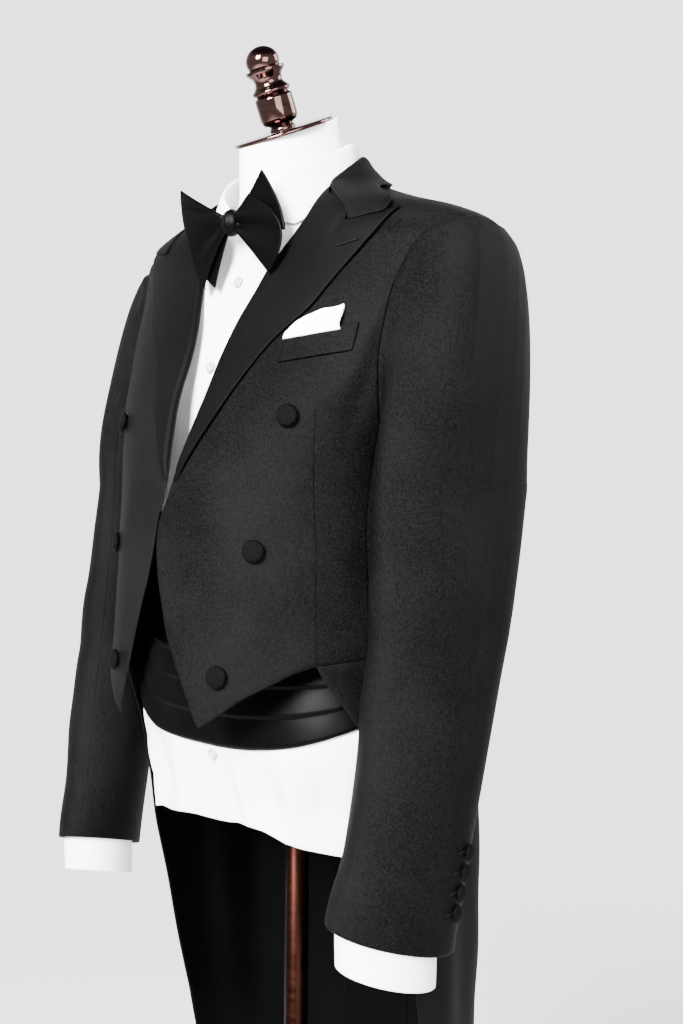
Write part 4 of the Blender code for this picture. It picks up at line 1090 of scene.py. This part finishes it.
def coat_body():
    """Fronts, side bodies, backs that run on into the tails, and the tails' side pieces."""
    side_levels = np.linspace(WAIST, UNDERARM, 60)[:, None]
    side_seam = curve(BACK_SEAM, "angle", side_levels)
    side_angle = SIDE_ANGLE + (side_seam - SIDE_ANGLE) * sideways(40)
    dip = UNDERARM_DIP * np.sin(math.pi * sideways(40)) * smooth((side_levels - 1.20) / 0.045)
    back_levels = np.concatenate([np.linspace(TAIL_HEM, WAIST, 80), np.linspace(WAIST, UNDERARM, 36)[1:],
                                  np.linspace(UNDERARM, SHOULDER_TIP, 44)[1:],
                                  np.linspace(SHOULDER_TIP, NECKLINE, 22)[1:]])[:, None]
    back_edge = np.select(
        [back_levels < WAIST, back_levels <= UNDERARM, back_levels < SHOULDER_TIP],
        [180.0 - angle_at(COAT, curve(TAIL, "back_half", back_levels), back_levels),
         curve(BACK_SEAM, "angle", back_levels), 180.0 - curve(ARMHOLE, "angle", back_levels)], SHOULDER_ANGLE)
    tail_levels = np.linspace(TAIL_HEM, WAIST, 90)[:, None]
    tail_edge = curve(TAIL, "edge_angle", tail_levels)
    tail_back = 180.0 - angle_at(COAT, curve(TAIL, "back_half", tail_levels), tail_levels)
    for side, name in SIDES:
        angle, level = front_grid(name)
        hem_angle, hem_level = angle[0], level[0]
        coat_panel("front", side, name, angle, level, folds(FRONT_FOLDS, angle, level))
        angle, level = side_angle, side_levels - dip
        coat_panel("side", side, name, angle, level, folds(SIDE_FOLDS, angle, level))
        angle = back_edge + (180.0 - back_edge) * sideways(56)
        level = back_levels * np.ones_like(angle)
        coat_panel("back", side, name, angle, level, folds(BACK_FOLDS, angle, level), LINING_AND_SEAM_SHADE)
        angle = tail_edge + (tail_back - tail_edge) * sideways(64)
        top = np.interp(angle[-1], hem_angle, hem_level, right=WAIST) - TAIL_GAP
        level = TAIL_HEM + (top[None] - TAIL_HEM) * ((tail_levels - TAIL_HEM) / (WAIST - TAIL_HEM))
        pucker = 0.0006 * np.sin(level * 60.0 + angle * 0.11) * smooth((0.95 - level) / 0.1)
        coat_panel("tail", side, name, angle, level, folds(BACK_FOLDS, angle, level) + pucker, LINING_AND_SEAM_SHADE)


def lapel_points(name, across, up):
    """Lapel: from the roll line to the outer edge, lifted by a quarter circle at the roll and settling outwards."""
    top = np.interp(across, GORGE["along"], GORGE["level"])
    level = LAPEL_START + (GORGE_LOW - LAPEL_START) * up + (top - GORGE_LOW) * smooth((up - 0.82) / 0.18)
    capped = np.minimum(level, PEAK_LEVEL)
    outer = angle_at(COAT, curve(LAPEL, "across", np.minimum(level, LAPEL["level"][-1])), capped)
    roll = angle_at(COAT, curve(EDGE, name, level), level)
    angle = roll + (outer - roll) * across
    reach = np.linalg.norm(on_section(COAT, angle, level) - on_section(COAT, roll, level), axis=-1)
    turn = np.clip(reach / ROLL_RADIUS, 0.0, 1.0)
    lift = LAPEL_LIFT * np.sqrt(1 - (1 - turn) ** 2) * (1 - LAPEL_SETTLE * across)
    lift = lift * smooth(up / 0.12 + 0.25)
    return angle, level, lift + 0.0006 * np.sin(up * 9.0) * across


def lapels():
    """Peak lapels with pick stitching along their outer edges and a buttonhole on the left one."""
    across, up = sideways(48) ** 1.4, upwards(120) ** 0.85
    for side, name in SIDES:
        flip = np.array([side, 1, 1])
        angle, level, out = lapel_points(name, across, up)
        cloth(f"lapel_{name}", mirrored(skin(COAT, angle, level, out), side), LAPEL_CLOTH, FAILLE, "faille")
        for part, edge_across, edge_up in (("edge", np.full(300, LAPEL_STITCH_ACROSS), np.linspace(0.10, 0.965, 300)),
                                           ("peak", np.linspace(0.72, LAPEL_STITCH_ACROSS, 60), np.full(60, 0.972))):
            angle, level, out = lapel_points(name, edge_across, edge_up ** 0.85)
            stitches(f"lapel_{part}_stitches_{name}", skin(COAT, angle, level, out + STITCH_OUT) * flip,
                     normals(COAT, angle, level) * flip, PICK_STITCH, THREAD, "faille")
    angle, level = np.linspace(*BUTTONHOLE_ANGLES, 40), np.linspace(*BUTTONHOLE_LEVELS, 40)
    path = skin(COAT, angle, level, LAPEL_LIFT * 0.9 + 0.0004)
    bead("lapel_buttonhole", path, LAPEL_BUTTONHOLE, THREAD, "faille")


def coat_collar():
    """Stand and leaf as one sheet turned over at the fold, whose ends settle on the two gorge seams."""
    t = upwards(60)
    share = np.linspace(0.0, 1.0, 90)
    along = np.concatenate([share - 1.0, (1.0 - share)[::-1][1:]])[None]
    inward = 1.0 - np.abs(along)
    leaf = np.clip((t - STAND_SHARE) / (1.0 - STAND_SHARE), 0.0, 1.0)
    settle = 1.0 - (1.0 - np.clip(inward / (0.46 - 0.12 * leaf), 0.0, 1.0)) ** (1.4 + 0.6 * leaf)
    stand_share = np.clip(1.0 - t / STAND_SHARE, 0.0, 1.0)
    end_angle, end_level = (np.interp(leaf, COLLAR_END["leaf"], COLLAR_END[key]) for key in ("angle", "level"))
    angle = 180.0 + along * (180.0 - end_angle)
    edge = COLLAR_EDGE + COLLAR_EDGE_RISE * np.minimum(inward / 0.6, 1.0)
    rest = COLLAR_FOLD + (edge - COLLAR_FOLD) * leaf
    level = end_level + (rest - end_level) * settle - STAND_DROP * stand_share * settle
    out = np.interp(t, [0.0, 0.25, 0.32, 0.36, 0.42, 1.0], [-0.0026, -0.0022, -0.0002, 0.0022, 0.0038, 0.0042])
    cloth("coat_collar", skin(COAT, angle, level, out - 0.0016 * leaf * smooth(inward / 0.25)), LAPEL_CLOTH, WOOL,
          "wool")


def armhole_ring():
    """Seam points of the left armhole, the way away from the arm, the underarm share and the seam's levels."""
    levels = UNDERARM + (SHOULDER_TIP - UNDERARM) * np.linspace(0.0, 1.0, 46)[1:] ** 0.9
    front = curve(ARMHOLE, "angle", levels)
    front[-1] = SHOULDER_ANGLE
    t = np.linspace(0.0, 1.0, 27)
    under = 180.0 - SIDE_ANGLE + (2 * SIDE_ANGLE - 180.0) * t
    dip = UNDERARM - UNDERARM_DIP * np.sin(math.pi * t)
    angle = np.concatenate([under, front, (180.0 - front)[::-1][1:]])
    level = np.concatenate([dip, levels, levels[::-1][1:]])
    below = np.concatenate([smooth(np.minimum(t, 1 - t) / 0.12 + 0.35), np.zeros(len(levels) * 2 - 1)])
    points = skin(COAT, angle, level)
    round_way = unit(np.roll(points, -1, axis=0) - np.roll(points, 1, axis=0))
    away = unit(np.cross(normals(COAT, angle, level), round_way))
    away = away * np.sign(((points.mean(axis=0) - points) * away).sum(axis=-1, keepdims=True))
    return points, away, below, level


def sleeve_frame(level):
    """Centre, forward way and outward way of the sleeve's section at a level."""
    turn = math.radians(float(curve(SLEEVE, "turn", level)))
    centre = np.array([curve(SLEEVE, "across", level), curve(SLEEVE, "forward", level), level], float)
    return centre, np.array([-math.cos(turn), -math.sin(turn), 0.0]), np.array([math.sin(turn), -math.cos(turn), 0.0])


def sleeve_section(level, around, depth=None, width=None):
    """Ellipse: depth along the sleeve's forward way and width along its outward way, or else the sleeve's own."""
    centre, ahead, outward = sleeve_frame(level)
    depth = curve(SLEEVE, "depth", level) if depth is None else depth
    width = curve(SLEEVE, "width", level) if width is None else width
    return centre + np.sin(around)[:, None] * depth * ahead + np.cos(around)[:, None] * width * outward


def sleeve_grid():
    """Left sleeve from the armhole down: cubic Bezier curves over the cap, then the sections of the arm."""
    points, away, below, seam_level = armhole_ring()
    middle = (points[:, 2].max() + points[:, 2].min()) / 2
    around = np.arctan2(-(points[:, 1] - points[:, 1].mean()) / 0.07, (points[:, 2] - middle) / 0.09)
    start, top = points + SEAM_GAP * away, SLEEVE["level"][-1]
    end = sleeve_section(top, around)
    reach = np.linalg.norm(end - start, axis=-1, keepdims=True)
    lead = unit(CAP_LEAD * (1 - below[:, None]) + UNDER_LEAD * below[:, None])
    a, b = start + lead * reach * CAP_REACH, end + ARM_LEAD * reach * ARM_REACH
    rings = [start * (1 - t) ** 3 + 3 * a * t * (1 - t) ** 2 + 3 * b * t * t * (1 - t) + end * t ** 3
             for t in np.linspace(0.0, 1.0, 44)[:-1] ** 1.25]
    for level in np.linspace(top, SLEEVE_HEM, 96):
        ring = sleeve_section(level, around)
        ring[:, 2] += cuff_slant(around) * smooth((0.900 - level) / 0.09)
        rings.append(ring)
    grid = np.array(rings)[::-1]
    press = folds(SLEEVE_FOLDS, np.degrees(around)[None], grid[..., 2], SLEEVE_GIRTH)
    turn = np.linalg.norm(grid - start[None], axis=-1)
    upper = smooth((seam_level - 1.34) / 0.05)[None]
    ease = 0.0009 * np.cos(np.arange(len(around)) * 0.75)[None] * np.exp(-((turn - 0.012) / 0.010) ** 2) * upper
    roping = 0.0016 * np.exp(-((turn - 0.006) / 0.005) ** 2) * upper
    out = (press + ease) * smooth(turn / 0.01) + roping
    return grid + grid_normals(grid, closed=True) * out[..., None], seam_level


def sleeves():
    """Two-piece sleeves, split where the armhole's level passes the seam's, front and back."""
    grid, seam_level = sleeve_grid()
    count = grid.shape[1]
    first = int(np.argmax(seam_level > SLEEVE_SPLIT))
    last = count - 1 - int(np.argmax(seam_level[::-1] > SLEEVE_SPLIT))
    under = [(i + count) % count for i in range(last - count, first + 1)]
    upper = list(range(first, last + 1))
    for side, name in SIDES:
        for kind, columns in (("under", under), ("top", upper)):
            cloth(f"sleeve_{kind}_{name}", wrist(mirrored(grid[:, columns], side), side), CLOTH, WOOL, "wool")


def wrist(grid, side):
    """The right sleeve's end hangs a little lower than the left one's, most of all at the back of the wrist."""
    if side > 0:
        return grid
    share = smooth((WRIST_TOP - grid[..., 2]) / WRIST_FADE)
    ahead = (WRIST_MIDDLE - grid[..., 1]) / WRIST_HALF
    return grid + np.stack([0 * share, WRIST_BACK * share, -(WRIST_DROP - WRIST_TILT * ahead) * share], -1)


def pocket():
    """Breast welt, and the square in it with soft upright folds and uneven peaks."""
    share, rise = sideways(60), upwards(24)
    angle = WELT_ANGLE + (WELT_SPAN + WELT_SLANT * (1 - rise)) * share
    level = WELT_TOP + WELT_RISE * share - WELT_HEIGHT * (1 - rise)
    swell = 0.0021 + 0.0004 * np.sin(math.pi * rise) * np.ones_like(share)
    cloth("breast_welt", skin(COAT, angle, level, swell), WELT_CLOTH, WOOL, "wool")
    share, rise = sideways(110), upwards(40)
    peaks = np.interp(share, SQUARE_PEAKS["share"], SQUARE_PEAKS["height"])
    base = SQUARE_LEVEL + WELT_RISE * (share * 0.75 + 0.06) - SQUARE_SUNK
    plies = 0.0007 * np.sin(share * 4.0 * math.pi) + 0.0004 * np.sin(share * 11.0 + 1.0)
    out = 0.0040 + (plies + 0.0006 * np.sin(rise * 4.0 + share * 9.0)) * rise
    angle = SQUARE_ANGLE + (SQUARE_SPAN + SQUARE_SLANT * (1 - rise)) * share
    cloth("pocket_square", skin(COAT, angle, base + (peaks + SQUARE_SUNK) * rise, out), SQUARE_LINEN, LINEN, "linen")


def covered_button(name, node_name, place, axis, size):
    """Button covered in lapel silk: a low dome over a rounded rim, drawn in slightly under it."""
    radius, height = size
    dome = [(radius * 0.93 * math.sin(a), height * (0.62 + 0.38 * math.cos(a))) for a in np.linspace(0, 1.5, 26)]
    rim = [(radius * 0.985, height * 0.55), (radius, height * 0.42), (radius * 0.97, height * 0.22),
           (radius * 0.80, 0.0), (0, 0)]

    def gathered(grid, turn):
        """Fine ribs of the gathered silk across the dome."""
        high = smooth((grid[..., 2] / height - 0.45) / 0.2)
        rib = 0.00013 * high * np.cos(2 * math.pi * (grid[..., 0] + 0.0004 * np.cos(2.0 * turn)[None]) / 0.0023)
        return np.stack([grid[..., 0], grid[..., 1], grid[..., 2] + rib], -1)

    turned(name, node_name, dome + rim, 64, FAILLE, "faille", place, axis, gathered)


def buttons():
    """Covered buttons of the fronts, the back waist and the sleeves, and the sleeves' buttonholes."""
    for side, name in SIDES:
        flip = np.array([side, 1.0, 1.0])
        places = [(f"front_covered_button_{i + 1}_{name}", f"front_button_{i + 1}_{name}", angle, level)
                  for i, (angle, level) in enumerate(zip(FRONT_BUTTONS["angle"], FRONT_BUTTONS["level"]))]
        places.append((f"back_covered_button_{name}", f"back_button_{name}",
                       180.0 - angle_at(COAT, BACK_BUTTON_ACROSS, WAIST), WAIST + BACK_BUTTON_RISE))
        for button, node_name, angle, level in places:
            covered_button(button, node_name, skin(COAT, angle, level, BUTTON_OUT) * flip,
                           normals(COAT, angle, level) * flip, COAT_BUTTON)
        for i in range(4):
            level = SLEEVE_BUTTON_LEVEL + i * SLEEVE_BUTTON_STEP
            a, b, c = sleeve_section(level, SLEEVE_BUTTON_AROUND + np.array([0.0, -0.01, 0.01]))
            out = unit(np.cross(c - b, UPWARD))
            out = out * np.sign(np.dot(out, a - sleeve_frame(level)[0]))
            covered_button(f"sleeve_covered_button_{i + 1}_{name}", f"sleeve_button_{i + 1}_{name}",
                           wrist((a + out * SLEEVE_BUTTON_OUT) * flip, side), out * flip, SLEEVE_BUTTON)
            around = np.linspace(*SLEEVE_HOLE_AROUND, 14)
            depth, width = curve(SLEEVE, "depth", level), curve(SLEEVE, "width", level)
            hole = sleeve_section(level + SLEEVE_HOLE_RISE, around, depth, width)
            bead(f"sleeve_buttonhole_{i + 1}_{name}", wrist((hole + out * SEAM_GAP) * flip, side), SLEEVE_BUTTONHOLE,
                 THREAD, "wool")


def front_details():
    """Dart seam of each front, a cord whose darkest finish is painted shade, and pick stitching along the cut-away
    edges.
    """
    for side, name in SIDES:
        flip = np.array([side, 1.0, 1.0])
        level = np.linspace(*DART_LEVELS, 90)
        angle = curve(DART, "angle", level)
        path = skin(COAT, angle, level, folds(FRONT_FOLDS, angle, level) - STITCH_OUT)
        # The dart seam's cord gives the seam its real relief; its darkest black finish is a painted shade line for
        # the seam's groove.
        bead(f"dart_seam_shade_line_{name}", path * flip, DART_RADIUS, LINING_AND_SEAM_SHADE, "wool")
        level = np.linspace(*EDGE_STITCH_LEVELS, 200)
        angle = angle_at(COAT, curve(EDGE, name, level) + EDGE_STITCH_IN, level)
        path = skin(COAT, angle, level, folds(FRONT_FOLDS, angle, level) + STITCH_OUT)
        stitches(f"front_edge_stitches_{name}", path * flip, normals(COAT, angle, level) * flip, PICK_STITCH, THREAD,
                 "wool")


# Studio

def glow_group():
    """Pale backdrop: brightest towards the far left, softer behind the camera and overhead."""
    group, given, result = group_of("studio_glow", (("Direction", "NodeSocketVector", None),),
                                    (("Color", "NodeSocketColor"),))
    way = node(group, "ShaderNodeVectorMath", {0: given.outputs["Direction"]}, operation="NORMALIZE").outputs[0]
    facing = node(group, "ShaderNodeVectorMath", {0: way, 1: GLOW_WAY}, operation="DOT_PRODUCT")
    height = node(group, "ShaderNodeSeparateXYZ", {0: way}).outputs["Z"]
    ahead = ramp(group, facing.outputs["Value"], GLOW_RANGE, (DIM / BRIGHT, 1.0), "SMOOTHSTEP")
    overhead = ramp(group, height, OVERHEAD_RANGE, (1.0, OVERHEAD_DIM), "SMOOTHSTEP")
    level = maths(group, "MULTIPLY", ahead, overhead)
    colour = node(group, "ShaderNodeCombineXYZ", {i: level for i in range(3)})
    feed(result, {"Color": colour.outputs[0]})
    return group


def pale_floor(backdrop):
    """Floor disc that fades into the backdrop with the distance from its middle."""
    t = np.linspace(0.0, 2 * math.pi, 96, endpoint=False)
    rim = np.stack([FLOOR_RADIUS * np.cos(t), FLOOR_RADIUS * np.sin(t), 0 * t], -1)
    mesh = mesh_of("studio_floor", rim, [list(range(96))])
    floor = in_scene("studio_floor", mesh)
    made, tree, shader = shader_of("pale_floor")
    feed(shader, {"Base Color": (0.80, 0.80, 0.805, 1), "Roughness": 0.9})
    place = object_place(tree)
    shade = node(tree, "ShaderNodeGroup", node_tree=backdrop)
    feed(shade, {"Direction": place})
    glow = node(tree, "ShaderNodeEmission", {"Strength": BRIGHT, "Color": shade.outputs["Color"]})
    length = node(tree, "ShaderNodeVectorMath", {0: place}, operation="LENGTH").outputs["Value"]
    fade = ramp(tree, length, FLOOR_FADE, way="SMOOTHSTEP")
    mix = node(tree, "ShaderNodeMixShader", {0: fade, 1: shader.outputs[0], 2: glow.outputs[0]})
    feed(tree.nodes["Material Output"], {"Surface": mix.outputs[0]})
    mesh.materials.append(made)


def studio():
    """Pale floor that fades into an even pale background, soft lights and the camera."""
    backdrop = glow_group()
    pale_floor(backdrop)
    world = bpy.data.worlds.new("pale_room")
    world.use_nodes = True
    tree = world.node_tree
    shade = node(tree, "ShaderNodeGroup", node_tree=backdrop)
    feed(shade, {"Direction": node(tree, "ShaderNodeTexCoord").outputs["Generated"]})
    feed(tree.nodes["Background"], {"Strength": BRIGHT, "Color": shade.outputs["Color"]})
    bpy.context.scene.world = world
    for name, (place, size, power) in LIGHTS.items():
        light = bpy.data.lights.new(name, "AREA")
        light.energy, light.size = power, size
        lamp = in_scene(name, light)
        lamp.location = place
        lamp.rotation_euler = (Vector(LIT_POINT) - Vector(place)).to_track_quat("-Z", "Y").to_euler()
    camera = bpy.data.cameras.new("camera")
    camera.lens, camera.sensor_width = CAMERA_LENS, CAMERA_SENSOR
    holder = in_scene("camera", camera)
    aim = Vector(CAMERA_WAY).normalized().to_track_quat("-Z", "Y").to_matrix().to_4x4()
    holder.matrix_world = Matrix.Translation(CAMERA_PLACE) @ aim @ Matrix.Rotation(CAMERA_ROLL, 4, "Z")
    bpy.context.scene.camera = holder


studio()
dress_form()
stand()
sleeves()
coat_body()
shirt()
cummerbund()
bow_tie()
lapels()
coat_collar()
pocket()
buttons()
front_details()
